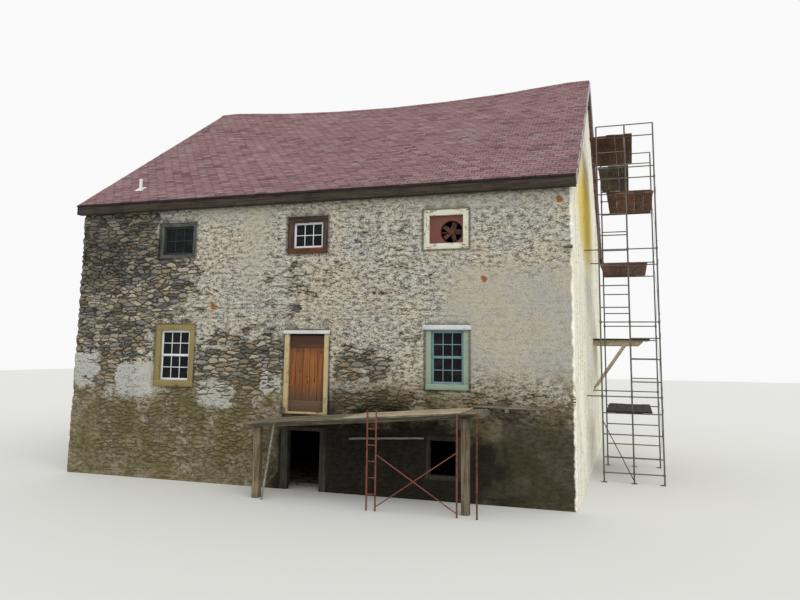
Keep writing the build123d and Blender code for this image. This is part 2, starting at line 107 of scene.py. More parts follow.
def split(place):
    made = place.node("ShaderNodeSeparateXYZ", {0: place}).socket.node
    return [Flow(place.tree, part) for part in made.outputs]


def join(x, y, z=0.0):
    source = next(part for part in (x, y, z) if isinstance(part, Flow))
    return source.node("ShaderNodeCombineXYZ", {0: x, 1: y, 2: z})


def ramp(value, low, high, start=0.0, end=1.0):        # an eased step between two levels
    return value.node("ShaderNodeMapRange", {0: value, 1: low, 2: high, 3: start, 4: end},
                      interpolation_type="SMOOTHSTEP")


def cloud(place, scale, detail=3.0, roughness=0.55, output=0):
    return place.node("ShaderNodeTexNoise", {"Vector": place, "Scale": scale, "Detail": detail,
                                             "Roughness": roughness}, output)


def cells(place, feature="F1", output=0):
    return place.node("ShaderNodeTexVoronoi", {"Vector": place, "Scale": 1.0}, output, feature=feature)


def stretched(place, x, y, z):                         # the same place, measured in longer or shorter steps
    return place.node("ShaderNodeVectorMath", {0: place, 1: (x, y, z)}, operation="MULTIPLY")


def blend(share, first, second):                       # from one colour to another
    return share.node("ShaderNodeMix", {0: share, 6: first, 7: second}, 2, data_type="RGBA")


def shaded(color, level):                              # a colour made darker or lighter
    source = color if isinstance(color, Flow) else level
    return source.node("ShaderNodeVectorMath", {0: color if isinstance(color, Flow) else color[:3], 3: level},
                       operation="SCALE")


def tint(red, green, blue):                            # a colour as a paint chart gives it, 0 to 255
    return tuple((channel / 255 / 12.92 if channel < 11 else ((channel / 255 + 0.055) / 1.055) ** 2.4)
                 for channel in (red, green, blue)) + (1.0,)


# A new material: its shader and the place on the piece that its patterns read
def startMaterial(name, **fixed):
    material = bpy.data.materials.new(name)
    material.use_nodes = True
    tree = material.node_tree
    shader = tree.nodes["Principled BSDF"]
    for socket, value in fixed.items():
        shader.inputs[socket.replace("_", " ")].default_value = value
    return material, Flow(tree, tree.nodes.new("ShaderNodeTexCoord").outputs["Object"])


def finishMaterial(material, color, roughness=None, height=None, depth=0.01, metallic=None):
    tree = material.node_tree
    shader = tree.nodes["Principled BSDF"]
    for socket, value in (("Base Color", color), ("Roughness", roughness), ("Metallic", metallic)):
        if isinstance(value, Flow):
            tree.links.new(value.socket, shader.inputs[socket])
        elif value is not None:
            shader.inputs[socket].default_value = value
    if height is not None:
        bump = height.node("ShaderNodeBump", {"Height": height, "Distance": depth, "Strength": 1.0})
        tree.links.new(bump.socket, shader.inputs["Normal"])
    return material


def attribute(place, name, output="Fac"):
    made = place.tree.nodes.new("ShaderNodeAttribute")
    made.attribute_name = name
    return Flow(place.tree, made.outputs[output])


# Masonry: thin stones in rough courses under a worn lime coat
masonry = {
    "stoneLength": 0.27,
    "stoneHeight": 0.1,
    "drift": 0.24,
    "ragged": 0.19,
    "joint": 0.028,
    "relief": 0.034,
    "level": 0.66,
    "edgeReach": 0.2,                                  # the mortar round an opening: how far it reaches
    "edgeCover": 0.15,
    "edgeShade": 0.55,
    "edgeFlat": 0.8,
}


# The coat's cover runs from under 0.1, bare stones, by 0.6, a rough coat full of pits, to 1.1, smooth
def stonework(place, cover):
    u, v, _ = split(place)
    pushU, pushV, _ = split(cloud(place, 2.3, 3.0, output=1))
    fineU, fineV, _ = split(cloud(place, 8.0, 3.0, 0.6, output=1))
    drift, ragged = masonry["drift"], masonry["ragged"]
    bedU = (u + (pushU - 0.5) * drift + (fineU - 0.5) * ragged) / masonry["stoneLength"]
    bedV = (v + (pushV - 0.5) * drift * 0.35 + (fineV - 0.5) * ragged * 0.45) / masonry["stoneHeight"]
    bed = join(bedU, bedV)
    stone = cells(bed, output=1)
    proud, shade, warmth = split(stone)
    midU, midV, _ = split(Flow(stone.tree, stone.socket.node.outputs[2]))
    over, beside = abs(bedV - midV), abs(bedU - midU)
    lying = over / (over + beside + 0.001)
    gap = cells(bed, feature="DISTANCE_TO_EDGE") * (
        lying * masonry["stoneHeight"] + (1.0 - lying) * masonry["stoneLength"])
    lump = cloud(join(u * 6.5, v * 13.0), 1.0, 5.0, 0.72)
    crumb = cloud(join(u * 24.0, v * 40.0), 1.0, 3.0, 0.6)
    crown = ramp(gap + (crumb - 0.5) * 0.026, 0.0, masonry["joint"]) * (proud * 0.35 + 0.65)
    flaked = cloud(join(u * 2.2, v * 3.4), 1.0, 4.0, 0.62)
    coated = ramp(cover + (lump - 0.5) * 0.6 + (proud - 0.5) * 0.2 + (flaked - 0.5) * 2.3, 0.16, 0.46)
    even = ramp(cover, 0.72, 1.1)
    pits = ramp(lump + (crumb - 0.5) * 0.6, 0.5, 0.37) * (1.0 - even * 0.75)
    coat = 0.86 - pits * 0.4 + (lump - 0.5) * 0.35 * (1.0 - even * 0.7)
    bare = crown * 0.9 + (lump - 0.5) * 0.2
    surface = bare * (1.0 - coated) + coat * coated
    # joints between bare stones are dark in their own colour; the coat's pits get painted shade
    hollowShade = ramp(crown, 0.5, 0.1) * (1.0 - coated) + pits * coated * 0.85
    return {"surface": surface, "hollowShade": hollowShade, "coated": coated, "even": even, "shade": shade,
            "warmth": warmth, "lump": lump, "crumb": crumb}


# Places on the front wall where the coat is lost or thick: middle along and up, reach along and up, change
coatPatches = {
    "left bay, bare": (-12.9, 5.3, 1.9, 2.2, -0.75),
    "left bay, foot": (-13.2, 3.4, 1.7, 1.3, -0.55),
    "under the upper left window": (-10.75, 5.2, 0.9, 0.75, -0.45),
    "round the lower left window": (-10.9, 4.0, 0.8, 1.1, -0.3),
    "courses left of the door": (-8.75, 2.85, 1.75, 0.8, -0.65),
    "beside the door": (-7.7, 3.3, 0.45, 0.9, -0.5),
    "over the door": (-7.3, 4.75, 0.8, 0.9, -0.15),
    "right of the door": (-5.3, 3.05, 0.85, 0.5, -0.45),
    "middle": (-5.2, 4.9, 2.2, 1.8, -0.05),
    "foot, right": (-2.6, 2.15, 3.2, 0.35, -0.25),
    "foot, middle": (-5.4, 2.0, 1.6, 0.45, -0.35),
    "foot, left": (-10.5, 1.5, 3.4, 1.1, -0.42),
    "right lower, smooth": (-1.5, 3.95, 1.9, 1.35, 0.5),
    "right upper, smooth": (-1.3, 5.8, 2.2, 1.5, 0.14),
    "middle, rough": (-4.6, 5.6, 2.0, 1.6, 0.06),
    "left of the upper middle window": (-8.7, 6.1, 1.3, 1.2, 0.16),
    "under the eave": (-4.0, 7.2, 8.0, 0.55, 0.2),
    "parged foot": (-1.9, 0.9, 2.2, 1.1, 0.35),
}
# Places that are whiter with lime, or below 0 darker: with damp and soot, and with painted shade under the
# deck and a painted tree shadow over the left bay
stainAndShadePatches = {
    "left corner": (-13.4, 2.85, 0.52, 0.55, 0.8),
    "left foot": (-11.7, 2.5, 0.8, 0.55, 0.8),
    "right of the lower left window": (-9.25, 2.25, 0.6, 0.4, 0.75),
    "left of the door": (-7.65, 2.55, 0.34, 0.34, 0.7),
    "band by the upper middle window": (-8.25, 5.7, 0.5, 1.4, 0.22),
    # painted tree shadow over the left bay, in two patches
    "left bay, top": (-12.9, 6.3, 1.8, 1.1, -0.4),
    "left bay": (-13.3, 4.9, 1.3, 1.6, -0.15),
    # painted shade under the deck
    "under the deck": (-4.9, 0.4, 2.75, 1.5, -1.1),
    "right of the deck": (-1.2, 0.7, 1.6, 1.35, -0.62),
    "mould by the door": (-4.9, 2.2, 1.6, 0.4, -0.25),
}


def patchwork(place, patches, ragged):
    u, v, _ = split(place)
    total = None
    for midU, midV, reachU, reachV, change in patches.values():
        du = abs(u - midU) / reachU
        dv = abs(v - midV) / reachV
        far = (du ** 3.0 + dv ** 3.0) ** 0.333 + (ragged - 0.5) * 1.3
        patch = ramp(far, 1.3, 0.6, 0.0, change)
        total = patch if total is None else total + patch
    return total


def besideOpenings(place, openings, reach):            # how near a place is to an opening's edge, 1 to 0
    u, v, _ = split(place)
    near = None
    for u0, u1, v0, v1 in openings:
        outU = apply("MAXIMUM", abs(u - (u0 + u1) / 2) - (u1 - u0) / 2, 0.0)
        outV = apply("MAXIMUM", abs(v - (v0 + v1) / 2) - (v1 - v0) / 2, 0.0)
        close = ramp(apply("SQRT", outU * outU + outV * outV), reach, 0.02)
        near = close if near is None else apply("MAXIMUM", near, close)
    return near


def startShape(piece):                                 # geometry nodes for a piece, and its points' places
    tree = bpy.data.node_groups.new(piece.name + "Shape", "GeometryNodeTree")
    for way in ("INPUT", "OUTPUT"):
        tree.interface.new_socket("Geometry", in_out=way, socket_type="NodeSocketGeometry")
    position = tree.nodes.new("GeometryNodeInputPosition").outputs[0]
    return tree, tree.nodes.new("NodeGroupInput").outputs[0], Flow(tree, position)


def finishShape(piece, tree, geometry, offset):        # moves the points, and applies the nodes
    setter = tree.nodes.new("GeometryNodeSetPosition")
    tree.links.new(geometry, setter.inputs["Geometry"])
    tree.links.new(offset.socket, setter.inputs["Offset"])
    tree.links.new(setter.outputs["Geometry"], tree.nodes.new("NodeGroupOutput").inputs[0])
    modify(piece, "Shape", "NODES", node_group=tree)


# Gives a wall its relief, and leaves its place, coat, stains with painted shade, and damp as attributes for
# its material.
# A gable's ends stand in the front and the back of the house, so they are coated as those are.
def relieveWall(piece, base, foot, openings=None, gable=False):
    tree, geometry, position = startShape(piece)
    x, y, z = split(position)
    place = join(x + y, z)
    ragged = cloud(place, 1.1, 5.0, 0.68)
    wide = cloud(place, 0.45, 2.0)
    half = frameHalf
    front = y < 0.001 - half.y
    back = y > half.y - 0.001
    if gable:
        base = base * (1.0 - front - back) + frontWalls["cover"] * front + otherWalls["cover"] * back
        foot = foot * (1.0 - front) + frontWalls["dampFoot"] * front
    cover = (wide - 0.5) * 0.4 + (ragged - 0.5) * 0.35 + base
    stainAndShade = cover * 0.0
    near = besideOpenings(place, openings, masonry["edgeReach"]) if openings else None
    if gable or piece.name.startswith("front"):
        stainAndShade = patchwork(place, stainAndShadePatches, ragged) * front
        cover = cover + patchwork(place, coatPatches, ragged) * front + ramp(stainAndShade, 0.0, 0.6) * 0.6
    if near is not None:
        cover = cover + near * masonry["edgeCover"]
        # painted shade in the gaps round the openings' frames
        stainAndShade = stainAndShade - ramp(near, 0.8, 1.0) * masonry["edgeShade"]
    cover = apply("MINIMUM", cover, 1.2)
    damp = ramp(z + (ragged - 0.5) * 2.0 - foot, 0.85, -0.85)
    for name, value, kind in (("wallPlace", place, "FLOAT_VECTOR"), ("cover", cover, "FLOAT"),
                              ("stainAndShade", stainAndShade, "FLOAT"), ("damp", damp, "FLOAT")):
        store = tree.nodes.new("GeometryNodeStoreNamedAttribute")
        store.data_type = kind
        store.domain = "POINT"
        store.inputs["Name"].default_value = name
        tree.links.new(geometry, store.inputs["Geometry"])
        tree.links.new(value.socket, store.inputs["Value"])
        geometry = store.outputs["Geometry"]
    relief = (stonework(place, cover)["surface"] - masonry["level"]) * masonry["relief"]
    if near is not None:
        relief = relief * (1.0 - near * masonry["edgeFlat"])
    sideX = (x > half.x - 0.002) - (x < 0.002 - half.x)
    sideY = back - front
    finishShape(piece, tree, geometry, join(sideX * relief, sideY * relief))


def select(*pieces):
    bpy.ops.object.select_all(action="DESELECT")
    for piece in pieces:
        piece.select_set(True)
    bpy.context.view_layer.objects.active = pieces[-1]


def modify(piece, name, kind, **settings):             # adds a modifier and applies it
    modifier = piece.modifiers.new(name, kind)
    for setting, value in settings.items():
        setattr(modifier, setting, value)
    select(piece)
    bpy.ops.object.modifier_apply(modifier=modifier.name)


def startPiece(name, add, **settings):                 # a primitive, alone in the selection
    bpy.ops.object.select_all(action="DESELECT")
    add(**settings)
    piece = bpy.context.object
    piece.name = name
    return piece


def setPlace(piece):                                   # its place goes into its mesh
    select(piece)
    bpy.ops.object.transform_apply(location=True, rotation=True, scale=True)


def enterEdit():
    bpy.ops.object.mode_set(mode="EDIT")


def leaveEdit():
    bpy.ops.object.mode_set(mode="OBJECT")


def cut(point, normal, clear=False):                   # in edit mode: through the whole piece
    bpy.ops.mesh.select_all(action="SELECT")
    bpy.ops.mesh.bisect(plane_co=point, plane_no=normal, clear_outer=clear)


def pick(piece, wanted, kind="faces"):                 # in edit mode: selects what the test wants
    mesh = bmesh.from_edit_mesh(piece.data)
    for part in list(mesh.verts) + list(mesh.edges) + list(mesh.faces):
        part.select = False
    for part in getattr(mesh, kind):
        if kind == "faces":
            part.select_set(bool(wanted(part.calc_center_median(), part.normal)))
        elif kind == "edges":
            part.select_set(bool(wanted(*(end.co for end in part.verts))))
        else:
            part.select_set(bool(wanted(part.co)))
    bmesh.update_edit_mesh(piece.data)


def evenCuts(fixed, step):                             # cut lines between fixed ones, about a step apart
    fixed = sorted(set(round(value, 5) for value in fixed))
    lines = []
    for low, high in zip(fixed, fixed[1:]):
        count = max(1, round((high - low) / step))
        lines += [low + (high - low) * i / count for i in range(1, count)] + [high]
    return lines[:-1]


# A wall as a slab that faces -Y: its outside is finely divided, its inside is left plain
def wallSlab(name, x0, x1, z0, z1, thickness, holes, step, fineness, gable=None, turn=0.0, out=0.0):
    piece = startPiece(name, bpy.ops.mesh.primitive_plane_add, size=1, rotation=(math.pi / 2, 0, 0),
                       location=((x0 + x1) / 2, 0, (z0 + z1) / 2))
    piece.scale = (x1 - x0, z1 - z0, 1)
    setPlace(piece)
    enterEdit()
    if gable:                                          # the two slopes cut the sheet's top corners off
        eave, ridge = gable
        for side in (-1, 1):
            low = Vector((side * x1, 0, eave))
            line = Vector((0, 0, ridge)) - low
            normal = Vector((-line.z, 0, line.x)).normalized()
            if normal.z < 0:
                normal.negate()
            cut(low, normal, clear=True)
    levels = [z0, z1] + [z for hole in holes for z in hole[2:]]
    for x in evenCuts([x0, x1] + [x for hole in holes for x in hole[:2]], step):
        cut((x, 0, 0), (1, 0, 0))
    for z in evenCuts(levels, step):
        cut((0, 0, z), (0, 0, 1))
    pick(piece, lambda middle, normal: any(a < middle.x < b and c < middle.z < d for a, b, c, d in holes))
    bpy.ops.mesh.delete(type="FACE")
    bpy.ops.mesh.select_all(action="SELECT")
    bpy.ops.mesh.normals_make_consistent(inside=False)
    pick(piece, lambda middle, normal: normal.y > 0)
    bpy.ops.mesh.flip_normals()
    leaveEdit()
    modify(piece, "Thickness", "SOLIDIFY", thickness=thickness, offset=-1)
    enterEdit()
    near = 0.001

    def shows(middle, normal):                         # the outside, a gable's ends and the openings' sides
        if gable:
            return normal.y < -0.5 or (abs(normal.x) > 0.9 and middle.z < gable[0])
        inside = x0 + near < middle.x < x1 - near and z0 + near < middle.z < z1 - near
        return normal.y < -0.5 or (abs(normal.y) < 0.5 and inside)
    pick(piece, shows)
    bpy.ops.mesh.subdivide(number_cuts=fineness)
    leaveEdit()
    piece.rotation_euler = (0, 0, turn)
    setPlace(piece)
    piece.location = Matrix.Rotation(turn, 3, "Z") @ Vector((0, -out, 0))
    setPlace(piece)
    return piece


def placePiece(piece, material, node, replaces=True):  # it rides with a CAD node, and may take its place
    piece.data.materials.clear()
    piece.data.materials.append(material)
    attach(piece, bodyOf[node])
    if replaces:
        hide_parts(node)


def solidsOf(name):                                    # the lowest and highest corner of a CAD node's solids
    mesh = nodes[name].data
    keys = [tuple(round(value, 3) for value in vertex.co) for vertex in mesh.vertices]
    leader = {key: key for key in keys}

    def lead(key):
        while leader[key] != key:
            key = leader[key]
        return key
    for face in mesh.polygons:
        first = lead(keys[face.vertices[0]])
        for index in face.vertices[1:]:
            leader[lead(keys[index])] = first
    groups = {}
    for key in leader:
        groups.setdefault(lead(key), []).append(key)
    return sorted((tuple(map(min, zip(*group))), tuple(map(max, zip(*group)))) for group in groups.values())


def flatSpan(low, high):                               # a box's ends along and up a wall
    return low[0], high[0], low[2], high[2]


# Wall materials
wallPaint = {
    "coatCool": tint(170, 168, 160),
    "coatWarm": tint(182, 174, 154),
    "coatGrey": tint(144, 141, 132),
    "paintedHighlight": tint(214, 208, 190),
    "streak": tint(146, 127, 98),
    "stoneGrey": tint(124, 122, 115),
    "stoneBrown": tint(136, 121, 98),
    "stoneTan": tint(164, 156, 138),
    "stoneDark": tint(88, 85, 78),
    # painted shade in the coat's pits
    "hollowShade": tint(66, 58, 44),
    "joint": tint(46, 41, 32),
    "lime": tint(190, 191, 183),
    "moss": tint(90, 88, 50),
    "earth": tint(114, 99, 70),
    "sootAndShade": tint(46, 44, 34),
    "rust": tint(136, 80, 38),
    "limeWhite": tint(242, 240, 228),
    "limeGrey": tint(190, 186, 168),
    "limeWarm": tint(236, 230, 202),
    "ochreStain": tint(232, 204, 76),
}
rustSpots = ((-9.43, 4.47, 0.13), (-2.22, 5.05, 0.07), (-0.5, 6.85, 0.08))    # along, up and reach
yellowStain = {"middle": (-1.9, 7.45), "reach": (3.8, 1.75)}    # on the right gable: along and up


def wallMaterial(name, limewashed=False):
    material, objectPlace = startMaterial(name, Specular_IOR_Level=0.25)
    place = attribute(objectPlace, "wallPlace", "Vector")
    cover = attribute(objectPlace, "cover")
    stainAndShade = attribute(objectPlace, "stainAndShade")
    damp = attribute(objectPlace, "damp")
    stone = stonework(place, cover)
    rough = 1.0 - stone["even"]
    grain = cloud(place, 46.0, 4.0, 0.7)
    wide = cloud(place, 0.7, 4.0, 0.6)
    blotch = cloud(place, 3.4, 5.0, 0.65)
    u, v, _ = split(place)
    streak = cloud(join(u * 1.5, v * 6.0), 1.0, 4.0, 0.6)
    coat = blend(ramp(wide, 0.35, 0.65), wallPaint["coatCool"], wallPaint["coatWarm"])
    coat = blend(ramp(blotch, 0.5, 0.72) * 0.5, coat, wallPaint["coatGrey"])
    coat = blend(ramp(streak, 0.53, 0.68) * rough * 0.55, coat, wallPaint["streak"])
    # painted highlight on the tops of the coat's lumps
    coat = blend(ramp(stone["lump"] + (stone["crumb"] - 0.5) * 0.6, 0.53, 0.7) * (rough * 0.6 + 0.15), coat,
                 wallPaint["paintedHighlight"])
    coat = shaded(coat, 0.79 + rough * 0.08 + blotch * 0.2 + (grain - 0.5) * 0.7
                  + (stone["crumb"] - 0.5) * 0.6)
    rock = blend(ramp(stone["warmth"], 0.3, 0.8), wallPaint["stoneGrey"], wallPaint["stoneBrown"])
    rock = blend(ramp(stone["shade"], 0.5, 0.95), rock, wallPaint["stoneTan"])
    rock = blend(ramp(stone["shade"], 0.3, 0.08), rock, wallPaint["stoneDark"])
    rock = shaded(rock, 0.38 + stone["lump"] * 1.15 + (grain - 0.5) * 0.6 + (stone["crumb"] - 0.5) * 0.8)
    color = blend(stone["coated"], rock, coat)
    # painted shade in the coat's pits; the bare stones' joints keep their own dark colour
    deep = blend(stone["coated"], wallPaint["joint"], wallPaint["hollowShade"])
    color = blend(stone["hollowShade"] * 0.9, color, deep)
    growth = cloud(place, 1.9, 5.0, 0.65)
    color = blend(damp * ramp(growth, 0.1, 0.5) * 0.8, color, shaded(wallPaint["earth"], stone["lump"] * 1.9))
    color = blend(damp * ramp(growth + (wide - 0.5) * 1.2, 0.36, 0.72) * 0.7, color,
                  shaded(wallPaint["moss"], stone["lump"] * 1.9))
    washed = ramp(stainAndShade + (growth - 0.5) * 1.9 + (blotch - 0.5) * 1.3, 0.38, 0.7)
    washed = washed * ramp(stainAndShade, 0.05, 0.35) * ramp(stone["surface"] + (blotch - 0.5) * 0.8, 0.25, 0.5)
    lime = shaded(wallPaint["lime"], 0.66 + blotch * 0.3 + (stone["crumb"] - 0.5) * 0.4)
    color = blend(washed * 0.9, color, lime)
    for spotU, spotV, size in rustSpots:
        far = apply("SQRT", (u - spotU) * (u - spotU) + (v - spotV) * (v - spotV)) + (blotch - 0.5) * 0.3
        color = blend(ramp(far, size, size * 0.4) * 0.9, color, wallPaint["rust"])
    # painted shadow under the eave, along the wall's top
    eave = ramp(v + (blotch - 0.5) * 0.12, 7.0, 7.22)
    # painted shade from the stain's dark side and the eave, together with real damp and soot
    dark = apply("MINIMUM", ramp(stainAndShade, 0.0, -1.0) + eave * 0.85, 1.0)
    color = shaded(blend(dark * 0.5, color, wallPaint["sootAndShade"]), 1.0 - dark * 0.84)
    if limewashed:
        x, y, z = split(objectPlace)
        corner = ramp(x + (blotch - 0.5) * 0.14, frameHalf.x - 0.07, frameHalf.x - 0.02)
        fade = cloud(join(y * 2.4, z * 0.22), 1.0, 5.0, 0.65)
        wash = blend(ramp(wide, 0.4, 0.62), wallPaint["limeWhite"], wallPaint["limeWarm"])
        wash = blend(ramp(fade, 0.5, 0.66) * 0.75, wash, wallPaint["limeGrey"])
        wash = shaded(wash, 0.92 + blotch * 0.2)
        along = (y - yellowStain["middle"][0]) / yellowStain["reach"][0]
        up = (z - yellowStain["middle"][1]) / yellowStain["reach"][1]
        far = apply("SQRT", along * along + up * up) + (blotch - 0.5) * 0.6 + (fade - 0.5) * 0.9
        wash = blend(ramp(far, 1.15, 0.45) * 0.9, wash, wallPaint["ochreStain"])
        kept = ramp(stone["surface"] + (blotch - 0.5) * 0.5, 0.3, 0.5)
        color = blend(corner * kept, color, wash)
    height = stone["surface"] + (grain - 0.5) * 0.24
    return finishMaterial(material, color, 0.92, height, 0.022)


frameHalf = Vector((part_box("right_gable_wall")[1].x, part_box("right_gable_wall")[1].y, 0))

wallCoat = wallMaterial("rubbleRender")
wallLime = wallMaterial("limewash", limewashed=True)
wallBare = wallMaterial("bareRubble")

frontWalls = {
    "step": 0.4,
    "fineness": 14,
    "cover": 0.6,
    "dampFoot": 2.45,
}
dripBoard = {"end": 0.07, "proud": 0.06, "height": 0.11}    # over the lower right window


def buildFrontWalls():
    holes = [flatSpan(*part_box(name + "_frame")) for name in (
        "upper_left_window", "upper_mid_window", "fan_window", "lower_left_window", "lower_right_window")]
    x0, x1, z0, z1 = holes.pop()                       # its drip board is wider than its hole
    holes.append((x0 + dripBoard["end"], x1 - dripBoard["end"], z0, z1))
    holes.append(flatSpan(*solidsOf("undercroft_frames")[1]))
    low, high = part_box("front_wall_under_door")
    doorway = (low.x, high.x, high.z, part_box("front_wall_over_door")[0].z)
    passage = (low.x, high.x, 0.0, low.z)
    openings = [(a - frameHalf.y, b - frameHalf.y, c, d) for a, b, c, d in holes + [doorway, passage]]
    for name in ("front_wall_left", "front_wall_right", "front_wall_upper", "front_wall_under_door",
                 "front_wall_over_door"):
        low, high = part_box(name)
        own = [hole for hole in holes if low.x < hole[0] and hole[1] < high.x
               and low.z < hole[2] and hole[3] < high.z]
        slab = wallSlab(name + "Stone", low.x, high.x, low.z, high.z, high.y - low.y, own,
                        frontWalls["step"], frontWalls["fineness"], out=frameHalf.y)
        relieveWall(slab, frontWalls["cover"], frontWalls["dampFoot"], openings)
        placePiece(slab, wallCoat, name)
        print(name, "built,", len(slab.data.polygons), "faces")


otherWalls = {
    "step": 0.8,
    "fineness": 12,
    "cover": 0.6,
    "dampFoot": 0.6,
    "bareCover": 0.05,
    "limeCover": 0.75,
}


def buildOtherWalls():
    low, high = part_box("back_wall")
    windowSpans = [flatSpan(*corners) for corners in solidsOf("back_window_frames")]
    holes = [(-b, -a, c, d) for a, b, c, d in windowSpans]
    slab = wallSlab("back_wallStone", low.x, high.x, low.z, high.z, high.y - low.y, holes,
                    otherWalls["step"], otherWalls["fineness"], turn=math.pi, out=frameHalf.y)
    openings = [(frameHalf.y + a, frameHalf.y + b, c, d) for a, b, c, d in windowSpans]
    relieveWall(slab, otherWalls["cover"], otherWalls["dampFoot"], openings)
    placePiece(slab, wallCoat, "back_wall")
    print("back wall built,", len(slab.data.polygons), "faces")
    for name, turn, cover, material in (
            ("left_gable_wall", -math.pi / 2, otherWalls["bareCover"], wallBare),
            ("right_gable_wall", math.pi / 2, otherWalls["limeCover"], wallLime)):
        low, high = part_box(name)
        eave = min(vertex.co.z for vertex in nodes[name].data.vertices if vertex.co.z > 1)
        slab = wallSlab(name + "Stone", low.y, high.y, 0, high.z, high.x - low.x, [],
                        otherWalls["step"], otherWalls["fineness"], gable=(eave, high.z), turn=turn,
                        out=frameHalf.x)
        relieveWall(slab, cover, otherWalls["dampFoot"], gable=True)
        placePiece(slab, material, name)
        print(name, "built,", len(slab.data.polygons), "faces")


buildFrontWalls()
buildOtherWalls()

# Wood: the light and the dark of its grain, its paint, and how much of the paint is left
woodFinish = {
    "weathered_board": (tint(74, 64, 53), tint(43, 36, 30), None, 0.0),
    "postTimber": (tint(126, 114, 92), tint(80, 70, 54), None, 0.0),
    "rake_paint": (tint(118, 110, 104), tint(74, 68, 64), tint(166, 163, 166), 0.62),
    "painted_cream": (tint(120, 106, 84), tint(84, 72, 56), tint(190, 184, 158), 0.75),
    "cream_frame": (tint(136, 116, 80), tint(92, 76, 50), tint(184, 166, 124), 0.7),
    "pale_board": (tint(140, 138, 132), tint(96, 94, 90), tint(196, 200, 200), 0.8),
    "pale_green_frame": (tint(120, 114, 94), tint(84, 80, 66), tint(138, 156, 138), 0.75),
    "fan_frame": (tint(150, 140, 112), tint(104, 96, 76), tint(208, 206, 184), 0.7),
    "ochre_frame": (tint(112, 96, 62), tint(76, 64, 42), tint(132, 118, 74), 0.8),
    "grey_frame": (tint(84, 84, 80), tint(52, 54, 52), tint(80, 86, 82), 0.5),
    "brown_frame": (tint(82, 60, 46), tint(44, 35, 30), tint(62, 50, 43), 0.5),
    "orangeSill": (tint(112, 66, 36), tint(58, 37, 25), tint(80, 50, 33), 0.4),
    "dark_timber": (tint(66, 61, 52), tint(34, 31, 27), None, 0.0),
    "dark_sash": (tint(46, 46, 44), tint(28, 28, 28), tint(40, 42, 42), 0.8),
    "sash_white": (tint(140, 136, 128), tint(100, 96, 90), tint(212, 214, 214), 0.85),
    "sash_blue_grey": (tint(98, 108, 112), tint(68, 78, 84), tint(112, 136, 144), 0.8),
    "red_brown_panel": (tint(92, 54, 46), tint(58, 36, 32), tint(108, 64, 58), 0.85),
    "floor_timber": (tint(150, 124, 92), tint(104, 84, 60), None, 0.0),
    "deck_timber": (tint(132, 124, 106), tint(80, 74, 62), None, 0.0),
    "cream_timber": (tint(210, 196, 164), tint(164, 148, 118), None, 0.0),
    "grey_timber": (tint(150, 146, 134), tint(98, 94, 84), None, 0.0),
    "greyPlank": (tint(116, 112, 104), tint(72, 68, 62), None, 0.0),
    "blackBoard": (tint(54, 48, 44), tint(28, 25, 24), None, 0.0),
    "plywood": (tint(192, 180, 154), tint(156, 140, 112), None, 0.0),
    "scaffold_plank": (tint(120, 76, 50), tint(60, 42, 34), None, 0.0),
}


# own: the boards hold their grain as attributes, or else it runs along X.
# above: a level, and the finish over it
def woodMaterial(finish, own=True, moss=0.0, above=None):
    light, dark, paint, kept = woodFinish[finish]
    material, objectPlace = startMaterial(finish + ("Own" if own else "Cad"), Specular_IOR_Level=0.3)
    if above:
        level, upper = above
        over = ramp(split(objectPlace)[2], level - 0.004, level + 0.004)
        upperLight, upperDark, upperPaint, _ = woodFinish[upper]
        light, dark = blend(over, light, upperLight), blend(over, dark, upperDark)
        paint = blend(over, paint, upperPaint) if paint else None
    u, v, w = split(attribute(objectPlace, "grainPlace", "Vector") if own else objectPlace)
    bend = (cloud(join(u * 0.9, v * 3.0, w * 3.0), 1.0, 2.0) - 0.5) * 0.05
    grain = cloud(join(u * 1.3, (v + bend) * 42.0, (w + bend) * 42.0), 1.0, 4.0, 0.6)
    fibre = cloud(join(u * 9.0, v * 210.0, w * 210.0), 1.0, 2.0, 0.5)
    weather = cloud(objectPlace, 2.1, 5.0, 0.65)
    color = blend(ramp(grain + (weather - 0.5) * 0.5, 0.34, 0.66), dark, light)
    level = 0.78 + fibre * 0.3 + weather * 0.16
    if own:
        level = level * (0.72 + attribute(objectPlace, "tone") * 0.5)
    color = shaded(color, level)
    height = grain * 0.6 + fibre * 0.4
    rough = 0.86
    if paint:
        flake = cloud(join(u * 7.0, v * 34.0, w * 34.0), 1.0, 4.0, 0.65)
        keep = ramp(flake + (weather - 0.5) * 0.7, 0.92 - kept * 0.82, 1.02 - kept * 0.82)
        color = blend(keep, color, shaded(paint, 0.78 + weather * 0.28 + fibre * 0.08))
        height = height * (1.0 - keep * 0.6) + keep * 0.5
        rough = 0.82 - keep * 0.22
    if moss:
        growth = ramp(cloud(objectPlace, 4.6, 5.0, 0.7), 0.5, 0.64, 0.0, moss)
        color = blend(growth, color, wallPaint["moss"])
    return finishMaterial(material, color, rough, height, 0.003)


mossy = {"deck_timber": 0.45, "plywood": 0.45}
boardFinish = {finish: woodMaterial(finish, moss=mossy.get(finish, 0.0)) for finish in woodFinish}
for name, finish, level, upper in (
        ("platformAndBoards", "cream_timber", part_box("bracket_platform")[1].z - 0.044, "blackBoard"),
        ("sillAndFrame", "orangeSill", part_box("upper_mid_window_frame")[0].z + 0.15, "brown_frame"),
        ("dripAndFrame", "pale_green_frame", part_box("lower_right_window_frame")[1].z - 0.109, "pale_board")):
    boardFinish[name] = woodMaterial(finish, above=(level, upper))


